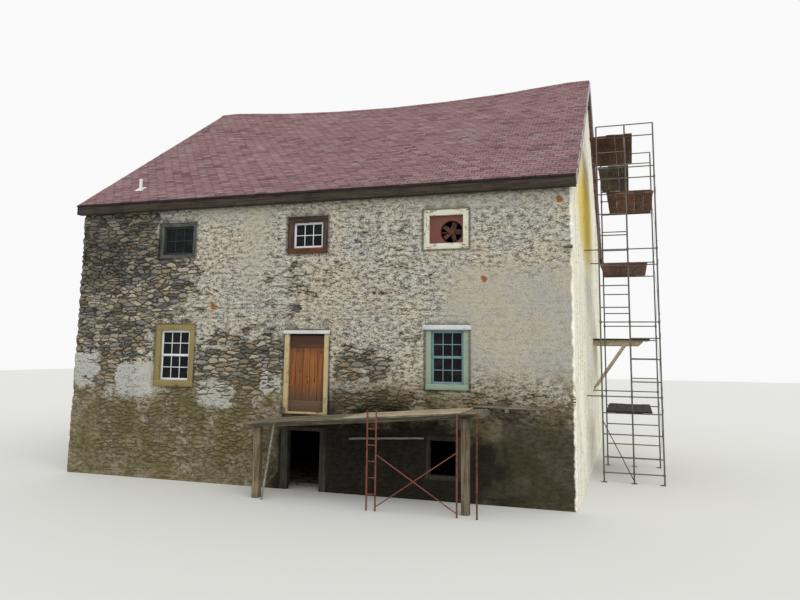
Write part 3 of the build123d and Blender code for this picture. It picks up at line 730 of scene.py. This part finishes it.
def markGrain(mesh, points, axes, tone):               # each board keeps its own grain direction and tone
    if "tone" not in mesh.attributes:
        mesh.attributes.new("grainPlace", "FLOAT_VECTOR", "POINT")
        mesh.attributes.new("tone", "FLOAT", "POINT")
    grain, tones = mesh.attributes["grainPlace"], mesh.attributes["tone"]
    for index in points:
        co = mesh.vertices[index].co
        grain.data[index].vector = (co.dot(axes[0]) + tone * 37, co.dot(axes[1]) + tone * 13, co.dot(axes[2]))
        tones.data[index].value = tone


carpentry = {
    "longEdge": 0.45,                                  # an edge past this length gets points to warp by
    "warpSize": 0.7,
    "easedAngle": math.radians(40),
    "smoothAngle": math.radians(32),
}
warpTexture = bpy.data.textures.new("warp", "CLOUDS")
warpTexture.noise_scale = carpentry["warpSize"]
warpTexture.cloud_type = "COLOR"


def finishBoards(piece, bevel, warp, cuts):
    if cuts:
        select(piece)
        enterEdit()
        pick(piece, lambda a, b: (a - b).length > carpentry["longEdge"], "edges")
        bpy.ops.mesh.subdivide(number_cuts=cuts)
        leaveEdit()
    if warp:
        modify(piece, "Warp", "DISPLACE", texture=warpTexture, direction="RGB_TO_XYZ", strength=warp,
               mid_level=0.5)
    modify(piece, "Edges", "BEVEL", width=bevel, segments=2, limit_method="ANGLE",
           angle_limit=carpentry["easedAngle"])
    select(piece)
    bpy.ops.object.shade_smooth_by_angle(angle=carpentry["smoothAngle"])


def timber(name, boards, bevel=0.004, warp=0.0, cuts=0):    # boards as middle, size and turn
    made = []
    for middle, size, turn in boards:
        board = startPiece("board", bpy.ops.mesh.primitive_cube_add, size=1, location=middle, rotation=turn,
                           scale=size)
        order = sorted(range(3), key=lambda axis: -size[axis])
        axes = [Vector([float(axis == way) for axis in range(3)]) for way in order]
        markGrain(board.data, range(len(board.data.vertices)), axes, dice.random())
        made.append(board)
    select(*made)
    if len(made) > 1:
        bpy.ops.object.join()
    piece = bpy.context.object
    piece.name = name
    setPlace(piece)
    finishBoards(piece, bevel, warp, cuts)
    return piece


def span(x0, x1, y0, y1, z0, z1, turn=(0, 0, 0)):
    return ((x0 + x1) / 2, (y0 + y1) / 2, (z0 + z1) / 2), (x1 - x0, y1 - y0, z1 - z0), turn


def dressed(name, bevel, warp, cuts):                  # a CAD timber with eased edges and grain of its own
    piece = bpy.data.objects.new(name + "Wood", nodes[name].data.copy())
    bpy.context.scene.collection.objects.link(piece)
    select(piece)
    enterEdit()
    bpy.ops.mesh.select_all(action="SELECT")
    bpy.ops.mesh.remove_doubles(threshold=0.0002)
    bpy.ops.mesh.dissolve_limited(angle_limit=math.radians(0.5))
    leaveEdit()
    mesh = piece.data
    group = list(range(len(mesh.vertices)))

    def lead(index):
        while group[index] != index:
            index = group[index]
        return index
    for edge in mesh.edges:
        a, b = (lead(index) for index in edge.vertices)
        group[a] = b
    longest = {}
    for edge in mesh.edges:
        a, b = (mesh.vertices[index].co for index in edge.vertices)
        key = lead(edge.vertices[0])
        if key not in longest or (b - a).length > longest[key].length:
            longest[key] = b - a
    for key, run in longest.items():
        first = run.normalized()
        side = Vector((0, 0, 1)) if abs(first.z) < 0.9 else Vector((1, 0, 0))
        second = first.cross(side).normalized()
        points = [index for index in range(len(group)) if lead(index) == key]
        markGrain(mesh, points, (first, second, first.cross(second)), dice.random())
    finishBoards(piece, bevel, warp, cuts)
    return piece


dice = random.Random(11)

# Windows: board frames with butt joints, sashes with thin glazing bars
windows = {
    "upper_left_window": {"face": 0.095, "frame": "grey_frame", "sash": "dark_sash", "hung": False},
    "upper_mid_window": {"face": 0.15, "frame": "sillAndFrame", "sash": "sash_white", "hung": False},
    "lower_left_window": {"face": 0.165, "frame": "ochre_frame", "sash": "sash_white", "hung": True},
    "lower_right_window": {"face": 0.13, "frame": "dripAndFrame", "sash": "sash_blue_grey", "hung": True},
    "fan_window": {"face": 0.14, "frame": "fan_frame", "sash": None, "hung": False},
}
sashBars = {"stile": 0.055, "bar": 0.02, "barDepth": 0.024, "rail": 0.048, "step": 0.3}
backFace = 0.11


def windowFrame(x0, x1, y0, y1, z0, z1, face):
    return [span(x0, x1, y0, y1, z1 - face, z1), span(x0, x1, y0, y1, z0, z0 + face),
            span(x0, x0 + face, y0 + 0.002, y1, z0 + face, z1 - face),
            span(x1 - face, x1, y0 + 0.002, y1, z0 + face, z1 - face)]


def windowSash(x0, x1, y0, y1, z0, z1, middleY=None):  # three panes wide and two high
    stile, bar, depth = sashBars["stile"], sashBars["bar"], sashBars["barDepth"]
    middleY = middleY or (y0 + y1) / 2
    parts = [span(x0, x0 + stile, y0, y1, z0, z1), span(x1 - stile, x1, y0, y1, z0, z1),
             span(x0 + stile, x1 - stile, y0, y1, z0, z0 + stile),
             span(x0 + stile, x1 - stile, y0, y1, z1 - stile, z1)]
    for i in (1, 2):
        x = x0 + stile + (x1 - x0 - 2 * stile) * i / 3
        parts.append(span(x - bar / 2, x + bar / 2, middleY - depth / 2, middleY + depth / 2,
                          z0 + stile, z1 - stile))
    z = (z0 + z1) / 2
    parts.append(span(x0 + stile, x1 - stile, middleY - depth / 2 + 0.001, middleY + depth / 2 - 0.001,
                      z - bar / 2, z + bar / 2))
    return parts


def buildWindows():
    for name, window in windows.items():
        frameNode = name + "_frame"
        low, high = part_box(frameNode)
        x0, x1, y0 = low.x, high.x, low.y
        if name == "lower_right_window":
            x0, x1, y0 = low.x + dripBoard["end"], high.x - dripBoard["end"], low.y + dripBoard["proud"]
        boards = windowFrame(x0, x1, y0, high.y, low.z, high.z, window["face"])
        if name == "lower_right_window":
            boards.append(span(low.x, high.x, low.y, y0 + 0.004, high.z - dripBoard["height"], high.z))
        piece = timber(name + "Frame", boards, 0.005, 0.008, 3)
        placePiece(piece, boardFinish[window["frame"]], frameNode)
        if not window["sash"]:
            continue
        sashNode = name + ("_sashes" if window["hung"] else "_sash")
        low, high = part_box(sashNode)
        if window["hung"]:
            meet = (low.z + high.z) / 2
            half = sashBars["rail"] / 2
            deep, middleY = (high.y - low.y) * sashBars["step"], (low.y + high.y) / 2
            boards = windowSash(low.x, high.x, low.y + deep, high.y, low.z, meet + half, middleY)
            boards += windowSash(low.x, high.x, low.y, high.y - deep, meet - half, high.z, middleY)
        else:
            boards = windowSash(low.x, high.x, low.y, high.y, low.z, high.z)
        piece = timber(name + "Sash", boards, 0.0025)
        placePiece(piece, boardFinish[window["sash"]], sashNode)
    print("windows built")
    boards = []
    for (x0, y0, z0), (x1, y1, z1) in solidsOf("back_window_frames"):
        boards += windowFrame(x0, x1, y0, y1, z0, z1, backFace)
    piece = timber("backWindowFrames", boards, 0.005, 0.006, 2)
    placePiece(piece, boardFinish["painted_cream"], "back_window_frames")
    boards = []
    for (x0, y0, z0), (x1, y1, z1) in solidsOf("back_window_sashes"):
        if z1 - z0 > x1 - x0:                          # the tall windows have two sashes
            meet, half = (z0 + z1) / 2, sashBars["rail"] / 2
            boards += windowSash(x0, x1, y0, y1, z0, meet + half)
            boards += windowSash(x0, x1, y0 + 0.001, y1 - 0.001, meet - half, z1)
        else:
            boards += windowSash(x0, x1, y0, y1, z0, z1)
    piece = timber("backWindowSashes", boards, 0.0025)
    placePiece(piece, boardFinish["sash_white"], "back_window_sashes")
    print("back windows built")


# The door: vertical planks with grooves, a head batten and a kick board, in a board frame
door = {
    "planks": (0.165, 0.2, 0.185, 0.21, 0.19),
    "head": 0.3,
    "kick": 0.27,
    "groove": 0.006,
    "bed": 0.012,
    "batten": 0.02,
    "seam": 0.004,
    "frameHead": 0.085,
    "jamb": 0.13,
    "sill": 0.05,
    "orange": tint(156, 96, 42),
    "brown": tint(104, 58, 24),
    "knot": tint(54, 28, 12),
    "grey": tint(88, 76, 63),
    "dark": tint(46, 27, 15),
}


def doorMaterial():
    material, objectPlace = startMaterial("doorPlanks", Specular_IOR_Level=0.35)
    u, v, w = split(attribute(objectPlace, "grainPlace", "Vector"))
    x, y, z = split(objectPlace)
    bend = (cloud(join(u * 1.2, v * 4.0, w * 4.0), 1.0, 2.0) - 0.5) * 0.06
    grain = cloud(join(u * 1.6, (v + bend) * 50.0, (w + bend) * 50.0), 1.0, 4.0, 0.6)
    fibre = cloud(join(u * 9.0, v * 220.0, w * 220.0), 1.0, 2.0)
    weather = cloud(objectPlace, 3.0, 5.0, 0.65)
    color = blend(ramp(grain, 0.32, 0.7), door["brown"], door["orange"])
    knot = ramp(cells(join(u * 2.3, v * 7.0, w * 7.0)), 0.17, 0.08)
    color = blend(knot * 0.85, color, door["knot"])
    color = shaded(color, (0.8 + attribute(objectPlace, "tone") * 0.3) * (0.8 + fibre * 0.3))
    low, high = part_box("door_leaf")
    worn = ramp(z + (weather - 0.5) * 0.5 + (grain - 0.5) * 0.3, low.z + 0.75, low.z + 0.2)
    color = blend(worn * 0.85, color, shaded(door["grey"], 0.6 + grain * 0.6))
    # painted shade: in the grooves, under the door's head and along its right edge
    seam = ramp(y, low.y + 0.006, low.y + 0.01)
    shade = apply("MAXIMUM", ramp(z, high.z - 0.55, high.z - 0.15), seam)
    shade = apply("MAXIMUM", shade, ramp(x + (weather - 0.5) * 0.1, high.x - 0.1, high.x - 0.02) * 0.6)
    color = blend(shade * 0.85, color, door["dark"])
    return finishMaterial(material, color, 0.62 + worn * 0.25, grain * 0.6 + fibre * 0.4, 0.002)


def buildDoor():
    low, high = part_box("door_leaf")
    boards = []
    x = low.x
    share = (high.x - low.x) / sum(door["planks"])
    headBottom, kickTop = high.z - door["head"], low.z + door["kick"]
    groove, seam, back = door["groove"], door["seam"], high.y - door["batten"]
    for width in door["planks"]:
        width *= share
        boards.append(span(x, x + width, low.y + door["bed"], high.y, low.z, high.z))
        boards.append(span(x + groove, x + width - groove, low.y + 0.001, back,
                           kickTop + seam, headBottom - seam))
        x += width
    boards.append(span(low.x, high.x, low.y, back, headBottom, high.z))
    boards.append(span(low.x, high.x, low.y, back, low.z, kickTop))
    piece = timber("doorPlanks", boards)
    placePiece(piece, doorMaterial(), "door_leaf")
    low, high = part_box("door_frame")
    jamb, top = door["jamb"], high.z - door["frameHead"]
    boards = [span(low.x, high.x, low.y, high.y, top, high.z),
              span(low.x, low.x + jamb, low.y, high.y, low.z, top),
              span(high.x - jamb, high.x, low.y, high.y, low.z, top),
              span(low.x + jamb, high.x - jamb, low.y + 0.004, high.y, low.z, low.z + door["sill"])]
    piece = timber("doorFrame", boards, 0.005, 0.006, 4)
    placePiece(piece, boardFinish["cream_frame"], "door_frame")
    piece = dressed("door_head_board", 0.003, 0.004, 4)
    placePiece(piece, boardFinish["pale_board"], "door_head_board")
    print("door built")


# The deck: weathered boards along the wall, a plywood sheet and a long brown board on them
deck = {
    "board": 0.2,
    "gap": 0.006,
    "thickness": 0.032,
    "slope": 0.0785,
    "joints": (1.5, 2.6, 3.9),
    "left ends": 0.16,
    "right ends": 0.2,
}


def buildDeck():
    low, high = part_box("deck_boards")
    tilt = (0, -math.atan(deck["slope"]), 0)
    count = round((high.y - low.y) / deck["board"])
    width = (high.y - low.y) / count
    boards = []
    for row in range(count):
        y = low.y + width * (row + 0.5)
        start = low.x + (dice.uniform(0.0, deck["left ends"]) if row else 0.0)
        joint = dice.choice(deck["joints"]) + dice.uniform(-0.1, 0.1)
        end = high.x - (dice.uniform(0.0, deck["right ends"]) if row else 0.0)
        for x0, x1 in ((start, joint - 0.004), (joint + 0.004, end)):
            middle = (x0 + x1) / 2
            top = low.z + deck["thickness"] + deck["slope"] * (middle - low.x)
            boards.append(((middle, y, top - deck["thickness"] / 2),
                           (x1 - x0, width - deck["gap"], deck["thickness"]), tilt))
    piece = timber("deckBoards", boards, 0.004, 0.012, 8)
    placePiece(piece, boardFinish["deck_timber"], "deck_boards")
    for name, finish, edge, warp, cuts in (
            ("deck_timbers", "deck_timber", 0.006, 0.01, 5),
            ("deck_posts", "postTimber", 0.006, 0.012, 5),
            ("undercroft_frames", "dark_timber", 0.006, 0.008, 3),
            ("plywood_sheet", "plywood", 0.003, 0.012, 8),
            ("ledge_board", "deck_timber", 0.006, 0.012, 6),
            ("cornices", "weathered_board", 0.006, 0.008, 12),
            ("rake_boards", "rake_paint", 0.006, 0.006, 10),
            ("bracket_platform", "platformAndBoards", 0.006, 0.012, 4)):
        piece = dressed(name, edge, warp, cuts)
        placePiece(piece, boardFinish[finish], name)
    print("deck and trims built")


buildWindows()
buildDoor()
buildDeck()

# Roof: thin shingle tabs in courses, on the CAD slopes
roof = {
    "eave": 7.353,
    "reach": 7.23,
    "ridge left": 12.395,
    "ridge right": 12.275,
    "sway": 0.315,
    "bays": 6,
    "inner": 6.235,
    "tab": 0.3,
    "gap": 0.012,
    "exposure": 0.1205,
    "lap": 1.35,
    "thickness": 0.005,
    "verge": 6.895,
    "crest": 0.03,
    "light": tint(146, 114, 116),
    "mid": tint(124, 92, 94),
    "dark": tint(92, 68, 71),
    "grey": tint(142, 124, 127),
    # how dark the painted shadow lines under the courses and between the tabs are
    "line": 0.75,
    "ridge tab": (0.2, 0.34, 0.006),
    "ridge tabs": 96,
    "ridge pitch": 0.1436,
    "ridge lift": 0.018,
}


def ridgeHeight(x):                                    # the ridge sways down in straight bays between gables
    t = apply("MINIMUM", apply("MAXIMUM", x / roof["inner"], -1.0), 1.0)
    bay = (t + 1.0) * (roof["bays"] / 2)
    first = apply("FLOOR", apply("MINIMUM", bay, roof["bays"] - 0.001))
    share = bay - first
    s0 = first / (roof["bays"] / 2) - 1.0
    s1 = s0 + 2 / roof["bays"]
    sag = (1.0 - share) * (s0 * s0) + share * (s1 * s1)
    left, right = roof["ridge left"], roof["ridge right"]
    return (right + left) / 2 + t * ((right - left) / 2) - roof["sway"] * (1.0 - sag)


def layOnRoof(piece):
    tree, geometry, place = startShape(piece)
    x, y, _ = split(place)
    rise = ridgeHeight(x) - roof["eave"]
    up = roof["eave"] + rise * (1.0 - abs(y) / roof["reach"])
    ripple = (cloud(place, 1.7, 3.0) - 0.5) * 0.008 + 0.002
    jitterX, jitterY, _ = split(cloud(stretched(place, 3.7, 9.0, 1.0), 1.0, 2.0, output=1))
    finishShape(piece, tree, geometry, join((jitterX - 0.5) * 0.012, (jitterY - 0.5) * 0.03, up + ripple))


def arrayOf(piece, count, offset):
    modify(piece, "Copies", "ARRAY", use_relative_offset=False, use_constant_offset=True,
           constant_offset_displace=offset, count=count)


def shingleTab(x, y, width, depth):                    # one tab, its butt edge towards the eave at -Y
    thickness = roof["thickness"]
    tab = startPiece("tab", bpy.ops.mesh.primitive_cube_add, size=1, scale=(width, depth, thickness),
                     location=(x + width / 2, y + depth / 2, thickness / 2))
    setPlace(tab)
    enterEdit()
    pick(tab, lambda middle, normal: normal.z < -0.5)
    bpy.ops.mesh.delete(type="FACE")
    pick(tab, lambda co: co.y > y + depth / 2, "verts")
    bpy.ops.transform.translate(value=(0, 0, -thickness * 0.9))
    pick(tab, lambda middle, normal: normal.y > 0.5)
    bpy.ops.mesh.delete(type="FACE")
    leaveEdit()
    return tab


def buildSlope(name, node, turn):
    courses = round(roof["reach"] / roof["exposure"])
    exposure = roof["reach"] / courses
    width = roof["tab"]
    across = round(2 * roof["verge"] / width) + 2
    rows = []
    for row in range(3):                               # each course is shifted by a third of a tab
        tab = shingleTab(-roof["verge"] - width + row * width / 3, -roof["reach"] + row * exposure,
                         width - roof["gap"], exposure * roof["lap"])
        arrayOf(tab, across, (width, 0, 0))
        rows.append(tab)
    select(*rows)
    bpy.ops.object.join()
    piece = bpy.context.object
    piece.name = name
    setPlace(piece)
    arrayOf(piece, courses // 3, (0, exposure * 3, 0))
    enterEdit()
    for side in (-1, 1):
        cut((side * roof["verge"], 0, 0), (side, 0, 0), clear=True)
    cut((0, -roof["crest"], 0), (0, 1, 0), clear=True)
    leaveEdit()
    piece.rotation_euler = (0, 0, turn)
    setPlace(piece)
    layOnRoof(piece)
    placePiece(piece, shingleFinish, node, replaces=False)
    print(name, "built,", len(piece.data.polygons), "faces")


def shingleMaterial():
    material, objectPlace = startMaterial("shingles", Specular_IOR_Level=0.2)
    x, y, _ = split(objectPlace)
    course = (roof["reach"] - abs(y) + 0.01) / roof["exposure"]
    row = apply("FLOOR", course)
    across = x / roof["tab"] + row / 3.0
    column = apply("FLOOR", across)
    first, second, third = split(objectPlace.node("ShaderNodeTexWhiteNoise", {"Vector": join(row, column)}, 1,
                                                  noise_dimensions="3D"))
    grit = cloud(objectPlace, 150.0, 2.0, 0.6)
    weather = cloud(objectPlace, 0.8, 5.0, 0.65)
    color = blend(first * 0.8, roof["mid"], roof["light"])
    color = blend(ramp(second, 0.7, 1.0) * 0.7, color, roof["dark"])
    color = blend(ramp(third + (weather - 0.5) * 0.8, 0.6, 1.0) * 0.6, color, roof["grey"])
    chips = cloud(stretched(objectPlace, 14.0, 26.0, 1.0), 1.0, 3.0, 0.6)
    color = shaded(color, 0.74 + weather * 0.28 + (chips - 0.5) * 1.3 + grit * 0.24)
    # painted shadow under each course's butt edge, and painted shade in the slots between tabs
    butt = ramp(course - row + (chips - 0.5) * 0.6, 0.62, 0.96)
    slotShade = ramp(across - column + (chips - 0.5) * 0.1, 0.1, 0.03)
    color = shaded(color, 1.0 - apply("MAXIMUM", butt * ramp(first + second, 0.3, 1.1), slotShade) * roof["line"])
    # painted shade along the drip edge at the eave
    dripEdgeShade = ramp(abs(y), roof["reach"] - 0.06, roof["reach"] - 0.02)
    color = shaded(color, 1.0 - dripEdgeShade * 0.85)
    return finishMaterial(material, color, 0.95, grit, 0.004)


def buildRidge():
    along, across, thickness = roof["ridge tab"]
    middle = along / 2 - roof["verge"]
    cap = startPiece("ridgeTabs", bpy.ops.mesh.primitive_plane_add, size=1, location=(middle, 0, 0))
    cap.scale = (along, across, 1)
    setPlace(cap)
    enterEdit()
    cut((0, 0, 0), (0, 1, 0))
    leaveEdit()
    modify(cap, "Thickness", "SOLIDIFY", thickness=thickness, offset=1)
    enterEdit()
    pick(cap, lambda co: co.x > middle, "verts")       # its far end dips under the next tab
    bpy.ops.transform.translate(value=(0, 0, -0.004))
    leaveEdit()
    arrayOf(cap, roof["ridge tabs"], (roof["ridge pitch"], 0, 0))
    enterEdit()
    cut((roof["verge"], 0, 0), (1, 0, 0), clear=True)
    bpy.ops.mesh.select_all(action="SELECT")
    bpy.ops.transform.translate(value=(0, 0, roof["ridge lift"]))
    leaveEdit()
    layOnRoof(cap)
    placePiece(cap, shingleFinish, "ridge_cap", replaces=False)
    print("ridge built")


shingleFinish = shingleMaterial()
buildSlope("frontShingles", "roof_front_slope", 0.0)
buildSlope("backShingles", "roof_back_slope", math.pi)
buildRidge()

# Scaffold planks: loose boards on each working level, from the lowest up
scaffold = {
    "board": 0.24,
    "gap": 0.003,
    "end": 0.06,
    "finishes": ("blackBoard", "scaffold_plank", "scaffold_plank", "greyPlank", "scaffold_plank"),
    "warps": (0.01, 0.012, 0.035, 0.012, 0.012),
}


def buildScaffold():
    levels = sorted(solidsOf("scaffold_planks"), key=lambda corners: corners[0][2])
    for number, (low, high) in enumerate(levels):
        boards = []
        count = round((high[0] - low[0]) / scaffold["board"])
        width = (high[0] - low[0]) / count
        for i in range(count):
            x = low[0] + width * i
            slide = dice.uniform(-scaffold["end"], scaffold["end"])
            boards.append(span(x + scaffold["gap"] / 2, x + width - scaffold["gap"] / 2,
                               low[1] + scaffold["end"] + slide, high[1] - scaffold["end"] + slide,
                               low[2] + dice.uniform(0, 0.004), high[2] - dice.uniform(0, 0.006)))
        piece = timber("scaffoldPlanks" + str(number + 1), boards, 0.004, scaffold["warps"][number], 7)
        placePiece(piece, boardFinish[scaffold["finishes"][number]], "scaffold_planks")
    print("scaffold planks built")


buildScaffold()


# Metal, glass and stone flags for the CAD nodes that stay. A metal has its own colour, its rust's colour,
# the share that is rusty, how metallic it is and how rough
metalFinish = {
    "scaffold_steel": (tint(98, 94, 92), tint(76, 62, 56), 0.4, 0.5, 0.5),
    "rusty_steel": (tint(110, 66, 44), tint(68, 40, 28), 0.65, 0.2, 0.85),
    "red_steel": (tint(112, 56, 46), tint(76, 46, 36), 0.5, 0.0, 0.65),
    "black_iron": (tint(40, 38, 36), tint(70, 46, 34), 0.35, 0.5, 0.6),
    "fan_steel": (tint(48, 38, 36), tint(96, 52, 44), 0.75, 0.2, 0.65),
    "flashing": (tint(214, 216, 214), tint(160, 150, 136), 0.3, 0.0, 0.5),
}


def metalMaterial(finish):
    clean, rust, share, metallic, rough = metalFinish[finish]
    material, place = startMaterial(finish)
    spots = cloud(place, 9.0, 5.0, 0.7)
    fine = cloud(place, 60.0, 3.0, 0.6)
    rusted = ramp(spots + (fine - 0.5) * 0.4, 0.78 - share * 0.5, 0.9 - share * 0.5)
    color = blend(rusted, shaded(clean, 0.85 + fine * 0.3), shaded(rust, 0.7 + fine * 0.5))
    return finishMaterial(material, color, rough + rusted * (0.92 - rough), rusted * 0.6 + fine * 0.4, 0.001,
                          metallic * (1.0 - rusted) if metallic else None)


def glassMaterial():
    material, place = startMaterial("oldGlass", Specular_IOR_Level=0.12, Alpha=0.86)
    waves = cloud(place, 7.0, 2.0)
    dust = cloud(place, 3.0, 5.0, 0.7)
    color = blend(ramp(dust, 0.45, 0.75), tint(14, 16, 17), tint(38, 42, 45))
    return finishMaterial(material, color, 0.06 + dust * 0.12, waves, 0.004)


def flagMaterial():
    material, place = startMaterial("flagstones", Specular_IOR_Level=0.3)
    laid = stretched(place, 1.4, 1.9, 1.0)
    flags = cells(laid, "DISTANCE_TO_EDGE")
    tone = cells(laid, output=1)
    grain = cloud(place, 24.0, 4.0, 0.65)
    color = shaded(blend(split(tone)[0], tint(104, 100, 90), tint(134, 126, 110)), 0.7 + grain * 0.5)
    color = blend(ramp(flags, 0.05, 0.02), color, tint(60, 54, 46))
    return finishMaterial(material, color, 0.9, ramp(flags, 0.0, 0.08) + grain * 0.3, 0.01)


finishes = {finish: metalMaterial(finish) for finish in metalFinish}

# Clamps where the scaffold's rails meet its posts, and plates under its feet
fittings = {
    "posts": (7.185, 7.945, 8.695),
    "frames": (-3.0, 0.05),
    "levels": (0.25, 2.24, 4.23, 6.22, 8.21),
    "clampRadius": 0.03,
    "clampHeight": 0.07,
    "plate": 0.15,
    "plateThickness": 0.008,
    "lastPlate": 8.65,
}


def repeat(model, name, places):                       # copies of a model, each with its own mesh, joined
    copies = []
    for place in places:
        copy = bpy.data.objects.new(name, model.data.copy())
        copy.location = place
        bpy.context.scene.collection.objects.link(copy)
        copies.append(copy)
    bpy.data.objects.remove(model)
    select(*copies)
    bpy.ops.object.join()
    piece = bpy.context.object
    piece.name = name
    setPlace(piece)
    return piece


def buildFittings():
    radius, height = fittings["clampRadius"], fittings["clampHeight"]
    clamp = startPiece("clamp", bpy.ops.mesh.primitive_cylinder_add, vertices=12, radius=radius, depth=height)
    enterEdit()
    pick(clamp, lambda middle, normal: abs(normal.z) > 0.9)
    bpy.ops.mesh.inset(thickness=radius * 0.25)
    bpy.ops.transform.resize(value=(1, 1, 1.16))
    pick(clamp, lambda middle, normal: normal.y < -0.9 and abs(middle.z) < height * 0.4)
    bpy.ops.mesh.inset(thickness=0.004)
    bpy.ops.mesh.extrude_region_move(TRANSFORM_OT_translate={"value": (0, -0.016, 0)})
    leaveEdit()
    places = [(x, y, z) for x in fittings["posts"] for y in fittings["frames"] for z in fittings["levels"]]
    piece = repeat(clamp, "scaffoldClamps", places)
    placePiece(piece, finishes["scaffold_steel"], "scaffold_front_frame", replaces=False)
    size, thickness = fittings["plate"], fittings["plateThickness"]
    plate = startPiece("plate", bpy.ops.mesh.primitive_cube_add, size=1, scale=(size, size, thickness))
    setPlace(plate)
    enterEdit()
    pick(plate, lambda middle, normal: normal.z > 0.9)
    bpy.ops.mesh.inset(thickness=size * 0.33)
    bpy.ops.mesh.extrude_region_move(TRANSFORM_OT_translate={"value": (0, 0, thickness * 1.5)})
    leaveEdit()
    places = [(min(x, fittings["lastPlate"]), y, thickness / 2)
              for x in fittings["posts"] for y in fittings["frames"]]
    piece = repeat(plate, "scaffoldPlates", places)
    placePiece(piece, finishes["scaffold_steel"], "scaffold_front_frame", replaces=False)
    print("scaffold fittings built")


buildFittings()


def setNodeMaterials():
    finishes["glass"] = glassMaterial()
    finishes["flagstone"] = flagMaterial()
    finishes["shingles"] = shingleFinish
    for finish in ("floor_timber", "grey_timber", "red_brown_panel"):
        finishes[finish] = woodMaterial(finish, own=False)
    for name, node in nodes.items():
        if slotOf[name] in finishes:
            for materialSlot in node.material_slots:
                materialSlot.material = finishes[slotOf[name]]


setNodeMaterials()
print("materials set")

# Floor, light and camera
view = {
    "place": (7.9855, -23.0650, 3.35),
    "turn": 0.3171,
    "lift": 0.1291,
    "tilt": 0.0121,
    "width": 800,
    "height": 600,
    "focus": 705.3227,
    "middle row": 260.507,
    "sensor": 36,
}


def setCamera():
    turn, lift, tilt = view["turn"], view["lift"], view["tilt"]
    ahead = Vector((-math.sin(turn) * math.cos(lift), math.cos(turn) * math.cos(lift), math.sin(lift)))
    right = Vector((math.cos(turn), math.sin(turn), 0))
    up = right.cross(ahead)
    right, up = (math.cos(tilt) * right + math.sin(tilt) * up, math.cos(tilt) * up - math.sin(tilt) * right)
    camera = bpy.data.objects.new("camera", bpy.data.cameras.new("camera"))
    camera.data.sensor_width = view["sensor"]
    camera.data.lens = view["focus"] / view["width"] * view["sensor"]
    camera.data.shift_y = -(view["height"] / 2 - view["middle row"]) / view["width"]
    camera.data.clip_end = 500
    facing = Matrix((right, up, -ahead)).transposed().to_4x4()
    camera.matrix_world = Matrix.Translation(Vector(view["place"])) @ facing
    bpy.context.scene.collection.objects.link(camera)
    bpy.context.scene.camera = camera


studio = {
    "sky": 0.95,
    "sun strength": 1.25,
    "sun softness": 0.9,
    "sun from": (0.5, -0.75, 1.0),
    "floor": tint(206, 206, 202),
}


def setStudio():
    world = bpy.data.worlds.new("studio")
    world.use_nodes = True
    world.node_tree.nodes["Background"].inputs[0].default_value = (1, 1, 1, 1)
    world.node_tree.nodes["Background"].inputs[1].default_value = studio["sky"]
    bpy.context.scene.world = world
    sun = bpy.data.objects.new("sun", bpy.data.lights.new("sun", "SUN"))
    sun.data.energy = studio["sun strength"]
    sun.data.angle = studio["sun softness"]
    sun.rotation_euler = Vector(studio["sun from"]).to_track_quat("Z", "Y").to_euler()
    bpy.context.scene.collection.objects.link(sun)
    floor = startPiece("studioFloor", bpy.ops.mesh.primitive_plane_add, size=160, location=(0, 0, -0.002))
    material = startMaterial("studioFloor", Roughness=0.9)[0]
    floor.data.materials.append(finishMaterial(material, studio["floor"]))


setCamera()
setStudio()

bpy.context.scene.view_settings.view_transform = "Standard"
